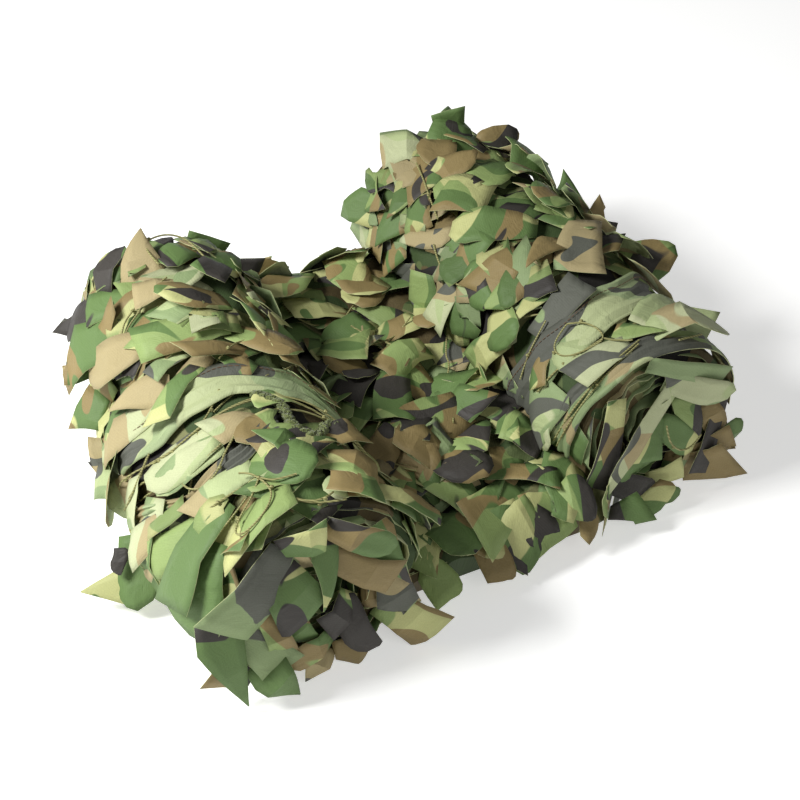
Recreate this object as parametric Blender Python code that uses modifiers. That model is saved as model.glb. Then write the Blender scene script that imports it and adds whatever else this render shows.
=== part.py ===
"""Camouflage net rolled up from both ends: two rolls, the folded strip between them,
the stitched edge bands wound over each roll and a fuzzy tie cord.

Metres, +Z up, resting on z = 0. +X runs from the left roll to the right roll and +Y along
the rolls, away from their near ends. Fold tables are in millimetres and degrees.
"""

import math
import random
from collections import namedtuple

import bpy
import bmesh
from mathutils import Vector, noise

MM = 0.001
ORIGIN = Vector((-0.0129, 0.030, 0.0))  # floor point under the middle of the whole net
COLLECTION = "camouflage_net"

Roll = namedtuple("Roll", "near far near_radius far_radius seed")
ROLLS = {
    "left": Roll(Vector((-0.1520, -0.1816, 0.0766)), Vector((-0.1347, 0.1873, 0.0718)), 0.0760, 0.0715, 3.0),
    "right": Roll(Vector((0.1578, -0.1354, 0.0728)), Vector((0.1404, 0.2398, 0.0679)), 0.0720, 0.0675, 11.0),
}

# body of a roll
AROUND = 28  # facets round a roll
STATIONS = 16  # sections along a roll
END_RINGS = 6  # rings across the wound end
LUMP = 0.0085  # swell of the leaf bundles on the side of a roll
LUMP_SPACING = 0.040
# where slack cloth swells a roll out of the round: middle and reach in degrees, then in mm along
Bulge = namedtuple("Bulge", "angle reach along length rise")
BULGES = {
    "left": Bulge(-102, 50, 120, 150, 0.019),
    "right": Bulge(52, 46, 230, 170, 0.010),
}
END_PITCH = 0.024  # spacing of the main turns seen at an end
END_STEP = 0.0105  # how far a turn stands out from its neighbour
CORE_SHARE = 0.10  # hollow core as a share of the radius
MOUTH_SHARE = 0.17  # rim of the core
RIM_SHARE = 0.94  # outermost ring of an end
CORE_DEPTH = 0.030
END_ROUND = 0.010  # rounding of the end's rim
FLAT_HALF_ANGLE = 17.0  # degrees, the flat the roll lies on

# cloth and leaves
PLATE = 0.0024  # thickness of a folded leaf of cloth
FLOOR_GAP = 0.0015  # lowest middle line of a loose leaf
LEAF_STEPS = 3
LEAF_LANES = 2
LIFT = 1.5  # mm added to the rise of every tip
CURL = 0.62 * math.pi  # a leaf lifts from its root and bows back over at its tip
CREASE = 0.06  # side slope of a leaf about its middle crease
LOBE = (0.55, 0.95, 1.0, 0.45)  # width shares from root to tip
POINT = (0.70, 1.0, 0.75, 0.12)
SQUARE = (0.65, 0.90, 1.0, 0.90)
FORMS = {"lobe": LOBE, "point": POINT, "square": SQUARE}

# edge bands
BAND_WIDTH = 0.040
BAND_THICK = 0.0024
BAND_GAP = 0.0010  # from the roll below to the band's middle underside
BAND_PLEAT = 0.0012
BAND_MARGIN = 0.010  # smooth belt kept either side of a band
CLEARANCE = 0.0004  # cut round every separate piece
BAND_STEPS = 32
BAND_LANES = 4

# tie cord
TIE_RADIUS = 0.0036
TIE_SIDES = 8

COLOURS = {
    "net": ((0.16, 0.24, 0.10), 0.86),
    "edge_band_left": ((0.28, 0.35, 0.20), 0.80),
    "edge_band_right": ((0.22, 0.30, 0.17), 0.80),
    "tie_cord": ((0.10, 0.13, 0.03), 0.95),
}

# middle line of each band: angle from the top (degrees, towards +X), place along the roll (mm)
BandPoint = namedtuple("BandPoint", "angle along")
BAND_LINES = {
    "left": [BandPoint(-138, 212), BandPoint(-100, 200), BandPoint(-54, 172), BandPoint(-11, 166),
             BandPoint(28, 150), BandPoint(62, 122), BandPoint(94, 92)],
    "right": [BandPoint(-98, 92), BandPoint(-58, 76), BandPoint(-30, 68), BandPoint(6, 76),
              BandPoint(49, 98), BandPoint(92, 118), BandPoint(136, 128)],
}
# second turn of the edge, still joined to the cloth: raised straps on the net itself
STRAP_LINES = {
    "left": [BandPoint(-130, 152), BandPoint(-103, 138), BandPoint(-53, 84), BandPoint(-21, 84), BandPoint(6, 100)],
    "right": [BandPoint(-100, 30), BandPoint(-70, 24), BandPoint(-30, 14), BandPoint(20, 12), BandPoint(70, 16),
              BandPoint(110, 26)],
}
STRAP_WIDTH = 0.026
STRAP_RISE = 0.0022
STRAP_STEPS = 12

# folds on the side of a roll: root and tip as (angle in degrees, mm along), widths and rises in mm
Fold = namedtuple("Fold", "roll root tip width root_rise tip_rise form")
SIDE_FOLDS = [
    Fold("left", (4, 305), (1, 376), 44, -3, 11, "point"),
    Fold("left", (-39, 330), (-24, 372), 26, -2, 12, "lobe"),
    Fold("left", (-37, 292), (-92, 338), 60, -3, 11, "lobe"),
    Fold("left", (-36, 250), (-80, 290), 40, -3, 10, "lobe"),
    Fold("left", (-73, 262), (-112, 285), 34, -3, 8, "point"),
    Fold("left", (-63, 222), (-106, 236), 30, -3, 10, "point"),
    Fold("left", (4, 214), (-30, 200), 34, -2, 9, "square"),
    Fold("left", (14, 58), (-20, 88), 42, -2, 12, "square"),
    Fold("left", (3, 46), (49, 48), 34, -2, 9, "lobe"),
    Fold("left", (-30, 72), (-108, 38), 46, -2, 17, "lobe"),
    Fold("left", (-96, 128), (-118, 88), 34, -3, 30, "point"),
    Fold("left", (17, 18), (74, 2), 24, -2, 11, "square"),
    Fold("left", (26, 44), (16, 0), 34, -2, 8, "square"),
    Fold("left", (-40, 44), (-52, -8), 36, -2, 9, "lobe"),
    Fold("left", (-26, 232), (2, 240), 34, -2, 8, "point"),
    Fold("left", (0, 272), (36, 268), 36, -2, 8, "lobe"),
    Fold("left", (22, 325), (44, 284), 30, -2, 10, "point"),
    Fold("left", (16, 230), (40, 176), 34, -2, 8, "lobe"),
    Fold("left", (-100, 262), (-116, 214), 34, -2, 14, "square"),
    Fold("left", (60, 60), (86, 20), 36, -2, 12, "lobe"),
    Fold("left", (66, 318), (80, 270), 36, -2, 10, "square"),
    Fold("right", (9, 331), (24, 391), 36, -2, 15, "point"),
    Fold("right", (-26, 336), (-22, 386), 34, -2, 13, "lobe"),
    Fold("right", (-68, 336), (-84, 378), 34, -2, 15, "point"),
    Fold("right", (-39, 256), (-71, 287), 32, -2, 11, "lobe"),
    Fold("right", (-6, 262), (49, 288), 34, -2, 10, "square"),
    Fold("right", (-18, 205), (36, 230), 42, -2, 10, "lobe"),
    Fold("right", (-68, 210), (-28, 186), 40, -2, 10, "square"),
    Fold("right", (-38, 142), (2, 162), 40, -2, 9, "point"),
    Fold("right", (52, 150), (62, 98), 40, -2, 24, "lobe"),
    Fold("right", (40, 190), (-2, 150), 40, -2, 9, "lobe"),
    Fold("right", (2, 26), (52, 12), 36, -1, 19, "point"),
    Fold("right", (-81, 216), (-86, 168), 34, -2, 10, "lobe"),
    Fold("right", (-37, 34), (-22, 6), 32, 0, 8, "square"),
    Fold("right", (-33, 305), (-56, 340), 34, -2, 10, "point"),
    Fold("right", (44, 287), (56, 330), 34, -2, 16, "lobe"),
    Fold("right", (-63, 262), (-104, 306), 34, -2, 10, "lobe"),
    Fold("right", (48, 206), (62, 166), 36, -2, 17, "square"),
    Fold("right", (-84, 62), (-104, 40), 30, -2, 9, "lobe"),
]

# leaves round the near and far ends: root and tip as (mm sideways, mm up) from the roll's middle
EndFold = namedtuple("EndFold", "roll end root tip width root_rise tip_rise form")
END_FOLDS = [
    EndFold("left", "near", (-40, 34), (-74, -66), 46, -6, 14, "point"),
    EndFold("left", "near", (-56, 6), (-38, -50), 40, -5, 14, "square"),
    EndFold("left", "near", (-50, -30), (-26, -70), 40, -5, 12, "point"),
    EndFold("left", "near", (6, 20), (48, -22), 40, -5, 12, "lobe"),
    EndFold("left", "near", (46, -8), (78, -66), 36, -5, 10, "point"),
    EndFold("left", "near", (-20, 6), (4, 48), 36, -5, 14, "square"),
    EndFold("left", "near", (14, 50), (56, 26), 26, -5, 13, "square"),
    EndFold("left", "near", (-22, -32), (14, -58), 32, -5, 10, "lobe"),
    EndFold("left", "far", (30, 20), (56, 56), 36, -5, 10, "square"),
    EndFold("left", "far", (-40, 0), (-64, -36), 40, -5, 10, "lobe"),
    EndFold("left", "far", (-10, 40), (-44, 62), 30, -5, 10, "point"),
    EndFold("right", "near", (-16, 37), (22, 27), 24, -5, 10, "square"),
    EndFold("right", "near", (10, -16), (72, -62), 34, -5, 12, "square"),
    EndFold("right", "near", (-22, 0), (-58, -16), 30, -5, 9, "lobe"),
    EndFold("right", "near", (36, -4), (72, -16), 28, -5, 12, "lobe"),
    EndFold("right", "near", (-28, -36), (-44, -58), 28, -5, 9, "point"),
    EndFold("right", "far", (-36, 10), (-60, 44), 34, -5, 10, "lobe"),
    EndFold("right", "far", (30, 10), (62, -20), 36, -5, 10, "point"),
]

# leaves on the strip between the rolls: root and tip as (mm in x, mm in y)
WebFold = namedtuple("WebFold", "root tip width root_rise tip_rise form")
WEB_FOLDS = [
    WebFold((52, 38), (10, -30), 34, -3, 10, "square"),
    WebFold((40, 28), (-8, 12), 34, -3, 9, "lobe"),
    WebFold((35, -53), (-14, -100), 40, -3, 9, "lobe"),
    WebFold((34, -80), (30, -136), 36, -3, 10, "point"),
    WebFold((28, -136), (54, -172), 30, -3, 8, "square"),
    WebFold((-34, -150), (-24, -178), 36, -3, 8, "lobe"),
    WebFold((74, -138), (58, -172), 34, -3, 8, "square"),
    WebFold((4, 138), (50, 144), 36, -3, 10, "lobe"),
    WebFold((5, 196), (-8, 116), 36, -3, 10, "square"),
    WebFold((-16, 83), (24, 66), 36, -3, 10, "square"),
    WebFold((47, 150), (53, 206), 40, -3, 12, "square"),
    WebFold((-40, 185), (-8, 214), 34, -3, 10, "lobe"),
    WebFold((-20, -90), (-22, -160), 36, -3, 8, "point"),
    WebFold((44, 92), (28, 24), 30, -3, 10, "point"),
    WebFold((-22, 46), (-24, -10), 34, -3, 10, "lobe"),
    WebFold((62, -84), (62, -134), 34, -3, 9, "lobe"),
    WebFold((8, -50), (-38, -66), 30, -3, 9, "point"),
]

# section of the strip between the rolls, near end to far end
WebRow = namedtuple("WebRow", "along left right height")
WEB_ROWS = [
    WebRow(-164, -126, 92, 16),
    WebRow(-150, -127, 106, 34),
    WebRow(-126, -126, 132, 50),
    WebRow(-70, -124, 129, 56),
    WebRow(0, -120, 125, 55),
    WebRow(80, -116, 121, 56),
    WebRow(150, -113, 118, 57),
    WebRow(184, -112, 117, 58),
    WebRow(200, -60, 116, 50),
    WebRow(208, -46, 114, 30),
]
WEB_LANES = 11
WEB_STEPS = 18
WEB_LUMP = 0.0110
WEB_SPACING = 0.045

# loose end of the tie cord on the left roll: angle, along in mm, rise above the roll in mm
TiePoint = namedtuple("TiePoint", "angle along rise")
TIE_LINE = [
    TiePoint(2, 137, 3.7), TiePoint(8, 127, 5.0), TiePoint(13, 116, 3.7), TiePoint(12, 102, 3.4),
    TiePoint(14, 88, 3.6), TiePoint(21, 80, 4.2), TiePoint(28, 86, 3.8), TiePoint(32, 96, 4.2),
    TiePoint(39, 93, 3.6),
]

# plain covering of leaves between the ones placed by hand
COVER_SPACING = 70.0
COVER_LENGTH = (44.0, 62.0)
COVER_WIDTH = (26.0, 38.0)
COVER_KEEP_OFF = 30.0  # distance to the nearest fold in a table
COVER_RISE = (6.0, 10.0)
COVER_FLOOR_ANGLE = 34.0  # degrees either side of straight down kept bare
COVER_FOLD_ANGLES = {"left": (88.0, 152.0), "right": (-152.0, -88.0)}  # where the middle strip joins
COVER_SEED = 17


def clear_scene():
    """Removes whatever the start-up file holds."""
    for thing in list(bpy.data.objects):
        bpy.data.objects.remove(thing, do_unlink=True)


def collection(name):
    """A collection in the scene, made when it is missing."""
    found = bpy.data.collections.get(name)
    if not found:
        found = bpy.data.collections.new(name)
        bpy.context.scene.collection.children.link(found)
    return found


def add_object(name, mesh, where):
    """An object with the given mesh in the named collection."""
    obj = bpy.data.objects.new(name, mesh)
    collection(where).objects.link(obj)
    return obj


def mesh_from(bm, name):
    """The bmesh as a mesh with its normals outward."""
    bmesh.ops.recalc_face_normals(bm, faces=bm.faces)
    mesh = bpy.data.meshes.new(name)
    bm.to_mesh(mesh)
    bm.free()
    return mesh


def blend(a, b, share):
    return a + (b - a) * share


def smooth(value, low, high):
    """0 below low, 1 above high, eased between."""
    share = min(max((value - low) / (high - low), 0.0), 1.0)
    return share * share * (3.0 - 2.0 * share)


def roll_frame(roll):
    """Unit vectors along the roll, sideways and up, and its length."""
    run = roll.far - roll.near
    along = run.normalized()
    side = along.cross(Vector((0.0, 0.0, 1.0))).normalized()
    return along, side, side.cross(along), run.length


def line_at(points, angle):
    """Place along the roll, in mm, of a band's middle line at an angle; None outside its run."""
    if angle < points[0].angle or angle > points[-1].angle:
        return None
    for low, high in zip(points, points[1:]):
        if angle <= high.angle:
            share = (angle - low.angle) / (high.angle - low.angle)
            return blend(low.along, high.along, share * share * (3.0 - 2.0 * share))
    return points[-1].along


def belt_share(side_name, angle, along):
    """1 where an edge band or the tie lies on the roll, 0 well away from them."""
    share = 0.0
    for lines, width in ((BAND_LINES, BAND_WIDTH), (STRAP_LINES, STRAP_WIDTH)):
        middle = line_at(lines[side_name], angle)
        if middle is not None:
            away = abs(along - middle) * MM - width / 2
            share = max(share, 1.0 - smooth(away, BAND_MARGIN, BAND_MARGIN * 2.2))
    if side_name == "left":
        for point in TIE_LINE:
            away = math.hypot((angle - point.angle) * 1.3, along - point.along)
            share = max(share, 1.0 - smooth(away, 12.0, 20.0))
    return share


def roll_radius(side_name, angle, along):
    """Radius of the wound cloth at an angle (degrees) and a place along the roll (metres)."""
    roll = ROLLS[side_name]
    length = (roll.far - roll.near).length
    share = min(max(along / length, 0.0), 1.0)
    turn = math.radians(angle)
    radius = blend(roll.near_radius, roll.far_radius, share)
    spot = Vector((math.sin(turn) * radius, math.cos(turn) * radius, along)) / LUMP_SPACING
    fold = 0.35 - abs(noise.noise(spot + Vector((roll.seed, 0.0, 0.0))))
    fold += 0.5 * noise.noise(spot * 1.6 + Vector((0.0, roll.seed, 0.0)))
    radius += LUMP * fold * (1.0 - belt_share(side_name, angle, along / MM))
    bulge = BULGES[side_name]
    away = math.hypot((angle - bulge.angle) / bulge.reach, (along / MM - bulge.along) / bulge.length)
    radius += bulge.rise * (1.0 - smooth(away, 0.25, 1.0))
    if abs(abs(angle) - 180.0) < FLAT_HALF_ANGLE:
        height = blend(roll.near.z, roll.far.z, share)
        radius = max(radius, height / math.cos(math.radians(180.0 - abs(angle))))
    return radius


def roll_point(side_name, angle, along, rise):
    """A point on the side of a roll; along and rise in metres."""
    roll = ROLLS[side_name]
    axis, side, up, length = roll_frame(roll)
    radius = roll_radius(side_name, angle, min(max(along, 0.0), length)) + rise
    turn = math.radians(angle)
    return roll.near + axis * along + side * math.sin(turn) * radius + up * math.cos(turn) * radius


def end_height(angle, share):
    """How far a wound end stands out at an angle and a share of its radius: the main turns."""
    turns = share * 0.075 / END_PITCH - angle / 360.0
    return END_STEP * (0.5 + 0.5 * math.cos(2.0 * math.pi * turns)) * smooth(share, 0.15, 0.4)


def roll_rows(length):
    """Profile of a roll from its near core to its far core: (place along, share of radius, end)."""
    rows = [(CORE_DEPTH, 0.0, "near"), (CORE_DEPTH * 0.9, CORE_SHARE, "near")]
    rows += [(0.0, blend(MOUTH_SHARE, RIM_SHARE, i / (END_RINGS - 1)), "near") for i in range(END_RINGS)]
    rows += [(blend(END_ROUND, length - END_ROUND, i / (STATIONS - 1)), 1.0, "side") for i in range(STATIONS)]
    rows += [(length, blend(RIM_SHARE, MOUTH_SHARE, i / (END_RINGS - 1)), "far") for i in range(END_RINGS)]
    rows += [(length - CORE_DEPTH * 0.9, CORE_SHARE, "far"), (length - CORE_DEPTH, 0.0, "far")]
    return rows


def build_roll(side_name):
    """One wound roll: a grid wrapped round the axis, drawn in at both ends to a hollow core."""
    axis, side, up, length = roll_frame(ROLLS[side_name])
    rows = roll_rows(length)
    bm = bmesh.new()
    bmesh.ops.create_grid(bm, x_segments=AROUND, y_segments=len(rows) - 1, size=1.0)
    for vert in bm.verts:
        turn = round((vert.co.x + 1.0) / 2.0 * AROUND) % AROUND
        along, share, place = rows[round((vert.co.y + 1.0) / 2.0 * (len(rows) - 1))]
        angle = turn * 360.0 / AROUND - 180.0
        if place != "side":
            outward = end_height(angle, share) - END_STEP * 0.4 - END_ROUND * 0.6 * smooth(share, 0.8, 1.0)
            outward *= 0.0 if share <= CORE_SHARE else 1.0
            along += -outward if place == "near" else outward
        radius = roll_radius(side_name, angle, min(max(along, 0.0), length)) * share
        swing = math.radians(angle)
        vert.co = ROLLS[side_name].near + axis * along + (side * math.sin(swing) + up * math.cos(swing)) * radius
        vert.co.z = max(vert.co.z, 0.0)
    bmesh.ops.remove_doubles(bm, verts=bm.verts, dist=0.00001)
    return add_object("roll_" + side_name, mesh_from(bm, "roll_" + side_name), COLLECTION)


def web_row(along):
    """Left edge, right edge and height of the middle strip, all in mm, at a place along it."""
    for low, high in zip(WEB_ROWS, WEB_ROWS[1:]):
        if along <= high.along:
            share = max((along - low.along) / (high.along - low.along), 0.0)
            return tuple(blend(a, b, share) for a, b in zip(low[1:], high[1:]))
    return tuple(WEB_ROWS[-1][1:])


def web_height(x, y):
    """Height of the folded strip between the rolls, in metres, with its main bundles."""
    height = web_row(y / MM)[2] * MM
    spot = Vector((x, y, 0.0)) / WEB_SPACING
    lump = noise.noise(spot + Vector((2.0, 5.0, 1.0))) + 0.6 * noise.noise(spot * 2.1)
    return max(height + WEB_LUMP * lump, 0.010)


def build_web():
    """The un-rolled strip, folded in layers: a top grid over a flat underside."""
    bm = bmesh.new()
    bmesh.ops.create_grid(bm, x_segments=WEB_LANES, y_segments=WEB_STEPS, size=1.0)
    for vert in bm.verts:
        along = blend(WEB_ROWS[0].along, WEB_ROWS[-1].along, (vert.co.y + 1.0) / 2.0)
        left, right, height = web_row(along)
        across = blend(left, right, (vert.co.x + 1.0) / 2.0)
        bow = 9.0 * noise.noise(Vector((across / 30.0, 0.0, 3.0))) * smooth(abs(along - 22.0), 120.0, 186.0)
        vert.co = Vector((across, along + bow, 0.0)) * MM
        vert.co.z = web_height(vert.co.x, along * MM)
    top = list(bm.faces)
    down = bmesh.ops.extrude_face_region(bm, geom=top, use_keep_orig=True)
    for item in down["geom"]:
        if isinstance(item, bmesh.types.BMVert):
            item.co.z = 0.0
    floor = [face for face in bm.faces if all(vert.co.z < 1e-6 for vert in face.verts)]
    bmesh.ops.dissolve_faces(bm, faces=floor)
    return add_object("web", mesh_from(bm, "web"), COLLECTION)


def leaf_grid(bm, place, root, tip, width, rises, form):
    """One leaf: a small grid from root to tip, widened by its form, creased down its middle.

    place(p, q, rise) gives the point in space for map place p, q in mm and a rise in mm.
    """
    run = Vector((tip[0] - root[0], tip[1] - root[1]))
    ahead = run.normalized()
    across = Vector((-ahead.y, ahead.x))
    shares = FORMS[form]
    made = bmesh.ops.create_grid(bm, x_segments=LEAF_STEPS, y_segments=LEAF_LANES, size=1.0)
    for vert in made["verts"]:
        step = round((vert.co.x + 1.0) / 2.0 * LEAF_STEPS)
        lane = vert.co.y
        share = step / LEAF_STEPS
        half = width * shares[step] / 2.0
        spot = Vector(root) + run * share + across * half * lane
        rise = blend(rises[0], rises[1] + LIFT, math.sin(share * CURL)) - abs(lane) * half * CREASE * 2.0 * share
        vert.co = place(spot.x, spot.y, rise)
        vert.co.z = max(vert.co.z, FLOOR_GAP)


def side_place(side_name):
    """Map place on a roll's side: p is the arc from the top and q the place along, both in mm."""
    roll = ROLLS[side_name]
    radius = (roll.near_radius + roll.far_radius) / 2.0 / MM

    def place(p, q, rise):
        return roll_point(side_name, math.degrees(p / radius), q * MM, rise * MM)

    return place, radius


def end_place(side_name, end):
    """Map place on a roll's end: p is mm sideways and q mm up from the middle of the end."""
    roll = ROLLS[side_name]
    axis, side, up, length = roll_frame(roll)
    middle = roll.near if end == "near" else roll.far
    out = -axis if end == "near" else axis

    def place(p, q, rise):
        return middle + side * p * MM + up * q * MM + out * rise * MM

    return place


def web_place(p, q, rise):
    """Map place on the middle strip, in mm."""
    return Vector((p * MM, q * MM, web_height(p * MM, q * MM) + rise * MM))


def cover_folds(side_name):
    """Leaves spread evenly over a roll between the ones placed by hand."""
    draw = random.Random(COVER_SEED + int(ROLLS[side_name].seed))
    place, radius = side_place(side_name)
    length = (ROLLS[side_name].far - ROLLS[side_name].near).length / MM
    taken = []
    for fold in SIDE_FOLDS:
        if fold.roll == side_name:
            for end in (fold.root, fold.tip):
                taken.append((math.radians(end[0]) * radius, end[1]))
    folds = []
    around = int(2.0 * math.pi * radius / COVER_SPACING)
    rows = int(length / COVER_SPACING)
    for row in range(rows):
        for turn in range(around):
            angle = (turn + 0.5 * (row % 2) + draw.uniform(-0.2, 0.2)) * 360.0 / around - 180.0
            along = (row + 0.5 + draw.uniform(-0.2, 0.2)) * length / rows
            heading = math.radians(draw.uniform(0.0, 360.0))
            reach = draw.uniform(*COVER_LENGTH)
            width = draw.uniform(*COVER_WIDTH)
            form = draw.choice(("lobe", "point", "square"))
            rise = draw.uniform(*COVER_RISE)
            arc = math.radians(angle) * radius
            near = min(math.hypot(arc - p, along - q) for p, q in taken)
            low, high = COVER_FOLD_ANGLES[side_name]
            if near < COVER_KEEP_OFF or abs(abs(angle) - 180.0) < COVER_FLOOR_ANGLE:
                continue
            if low < angle < high or belt_share(side_name, angle, along) > 0.0:
                continue
            tip = (arc + reach * math.cos(heading), along + reach * math.sin(heading))
            folds.append(((arc, along), tip, width, (-2.5, rise), form))
    return folds


def build_leaves():
    """Every standing leaf of the net as a thin plate with its root inside the wound cloth."""
    bm = bmesh.new()
    for side_name in ROLLS:
        place, radius = side_place(side_name)
        for fold in SIDE_FOLDS:
            if fold.roll == side_name:
                root = (math.radians(fold.root[0]) * radius, fold.root[1])
                tip = (math.radians(fold.tip[0]) * radius, fold.tip[1])
                rises = (fold.root_rise, fold.tip_rise)
                leaf_grid(bm, place, root, tip, fold.width, rises, fold.form)
        for root, tip, width, rises, form in cover_folds(side_name):
            leaf_grid(bm, place, root, tip, width, rises, form)
    for fold in END_FOLDS:
        rises = (fold.root_rise, fold.tip_rise)
        leaf_grid(bm, end_place(fold.roll, fold.end), fold.root, fold.tip, fold.width, rises, fold.form)
    for fold in WEB_FOLDS:
        rises = (fold.root_rise, fold.tip_rise)
        leaf_grid(bm, web_place, fold.root, fold.tip, fold.width, rises, fold.form)
    leaves = add_object("leaves", mesh_from(bm, "leaves"), COLLECTION)
    thicken(leaves, PLATE)
    return leaves


def belt_grid(side_name, line, width, rise, steps, lanes, pleat):
    """A strip wound on a roll along a line: rise is its height above the wound cloth."""
    bm = bmesh.new()
    bmesh.ops.create_grid(bm, x_segments=steps, y_segments=lanes, size=1.0)
    first = line[0].angle + 0.001
    last = line[-1].angle - 0.001
    for vert in bm.verts:
        angle = blend(first, last, (vert.co.x + 1.0) / 2.0)
        lane = vert.co.y
        wave = pleat * (0.5 - 0.5 * math.cos(2.0 * math.pi * lane)) * (0.6 + 0.4 * math.sin(angle * 0.09))
        along = line_at(line, angle) * MM + lane * width / 2.0
        vert.co = roll_point(side_name, angle, along, rise + wave)
    return bm


def thicken(obj, thickness):
    """Gives a sheet its thickness, half of it to each side."""
    solid = obj.modifiers.new("thickness", "SOLIDIFY")
    solid.thickness = thickness
    solid.offset = 0.0
    solid.use_even_offset = False
    apply_modifiers(obj)


def apply_modifiers(obj):
    """Replaces the mesh by its evaluated form."""
    graph = bpy.context.evaluated_depsgraph_get()
    mesh = bpy.data.meshes.new_from_object(obj.evaluated_get(graph))
    obj.modifiers.clear()
    obj.data = mesh


def build_strap(side_name):
    """The second turn of the edge: a raised strap that is part of the wound cloth."""
    bm = belt_grid(side_name, STRAP_LINES[side_name], STRAP_WIDTH, 0.0002, STRAP_STEPS, 1, 0.0)
    strap = add_object("strap_" + side_name, mesh_from(bm, "strap_" + side_name), COLLECTION)
    thicken(strap, STRAP_RISE * 2.0)
    return strap


def build_band(side_name, name, extra, where):
    """The stitched edge band, or its cutter when extra clearance is given."""
    width = BAND_WIDTH + 2.0 * extra
    rise = BAND_GAP + BAND_THICK / 2.0
    bm = belt_grid(side_name, BAND_LINES[side_name], width, rise, BAND_STEPS, BAND_LANES, BAND_PLEAT)
    band = add_object(name, mesh_from(bm, name), where)
    thicken(band, BAND_THICK + 2.0 * extra)
    return band


def build_tie(name, extra, where):
    """The loose end of the fuzzy tie: a round cord laid on the left roll in two bends."""
    curve = bpy.data.curves.new(name + "_curve", "CURVE")
    curve.dimensions = "3D"
    curve.resolution_u = 3
    curve.bevel_depth = TIE_RADIUS + extra
    curve.bevel_resolution = TIE_SIDES // 4
    curve.use_fill_caps = True
    spline = curve.splines.new("NURBS")
    spline.points.add(len(TIE_LINE) - 1)
    spline.use_endpoint_u = True
    spline.order_u = 4
    for point, row in zip(spline.points, TIE_LINE):
        spot = roll_point("left", row.angle, row.along * MM, row.rise * MM)
        point.co = (spot.x, spot.y, spot.z, 1.0)
    holder = add_object(name + "_path", curve, where)
    graph = bpy.context.evaluated_depsgraph_get()
    mesh = bpy.data.meshes.new_from_object(holder.evaluated_get(graph))
    bpy.data.objects.remove(holder, do_unlink=True)
    bm = bmesh.new()
    bm.from_mesh(mesh)
    bmesh.ops.remove_doubles(bm, verts=bm.verts, dist=0.00001)
    return add_object(name, mesh_from(bm, name), where)


def combine(target, other, operation, overlapping):
    """Boolean of other on target; overlapping says that other crosses itself."""
    step = target.modifiers.new(operation.lower(), "BOOLEAN")
    step.operation = operation
    step.object = other
    step.use_self = overlapping
    apply_modifiers(target)


def keep_largest(obj):
    """Drops shut-in pockets and crumbs a cut may leave: only the largest shell stays."""
    bm = bmesh.new()
    bm.from_mesh(obj.data)
    bmesh.ops.triangulate(bm, faces=bm.faces)
    left = set(bm.faces)
    shells = []
    while left:
        shell = [left.pop()]
        for face in shell:
            for edge in face.edges:
                for other in edge.link_faces:
                    if other in left:
                        left.discard(other)
                        shell.append(other)
        shells.append(shell)
    shells.sort(key=len, reverse=True)
    for shell in shells[1:]:
        bmesh.ops.delete(bm, geom=shell, context="FACES")
    bm.to_mesh(obj.data)
    bm.free()


def build_net():
    """The net: both rolls, the strip between them, the straps and the leaves as one solid."""
    net = build_roll("left")
    net.name = "net"
    parts = [(build_roll("right"), False), (build_web(), False), (build_strap("left"), False)]
    parts += [(build_strap("right"), False), (build_leaves(), True)]
    for part, overlapping in parts:
        combine(net, part, "UNION", overlapping)
        bpy.data.objects.remove(part, do_unlink=True)
    cutters = [build_band(side_name, "cut_band_" + side_name, CLEARANCE, "cutters") for side_name in ROLLS]
    cutters.append(build_tie("cut_tie", CLEARANCE, "cutters"))
    for cutter in cutters:
        cutter.hide_render = True
        cutter.display_type = "WIRE"
        combine(net, cutter, "DIFFERENCE", False)
        bpy.data.objects.remove(cutter, do_unlink=True)
    keep_largest(net)
    net.data.name = "net"
    return net


def move_to_origin(obj):
    """Shifts the mesh so that the origin lies on the floor under the middle of the net."""
    for vert in obj.data.vertices:
        vert.co -= ORIGIN
    obj.data.update()


def material(name, colour, roughness):
    """A plain surface of one colour."""
    made = bpy.data.materials.new(name)
    made.use_nodes = True
    shader = made.node_tree.nodes["Principled BSDF"]
    shader.inputs["Base Color"].default_value = (*colour, 1.0)
    shader.inputs["Roughness"].default_value = roughness
    shader.inputs["Metallic"].default_value = 0.0
    return made


def main():
    clear_scene()
    pieces = [build_net()]
    pieces += [build_band(side_name, "edge_band_" + side_name, 0.0, COLLECTION) for side_name in ROLLS]
    pieces.append(build_tie("tie_cord", 0.0, COLLECTION))
    for piece in pieces:
        colour, roughness = COLOURS[piece.name]
        piece.data.materials.clear()
        piece.data.materials.append(material(piece.name + "_cloth", colour, roughness))
        for face in piece.data.polygons:
            face.material_index = 0
            face.use_smooth = False
        move_to_origin(piece)


main()
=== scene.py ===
import math
import random

import bmesh
import bpy
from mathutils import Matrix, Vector, noise


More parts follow.
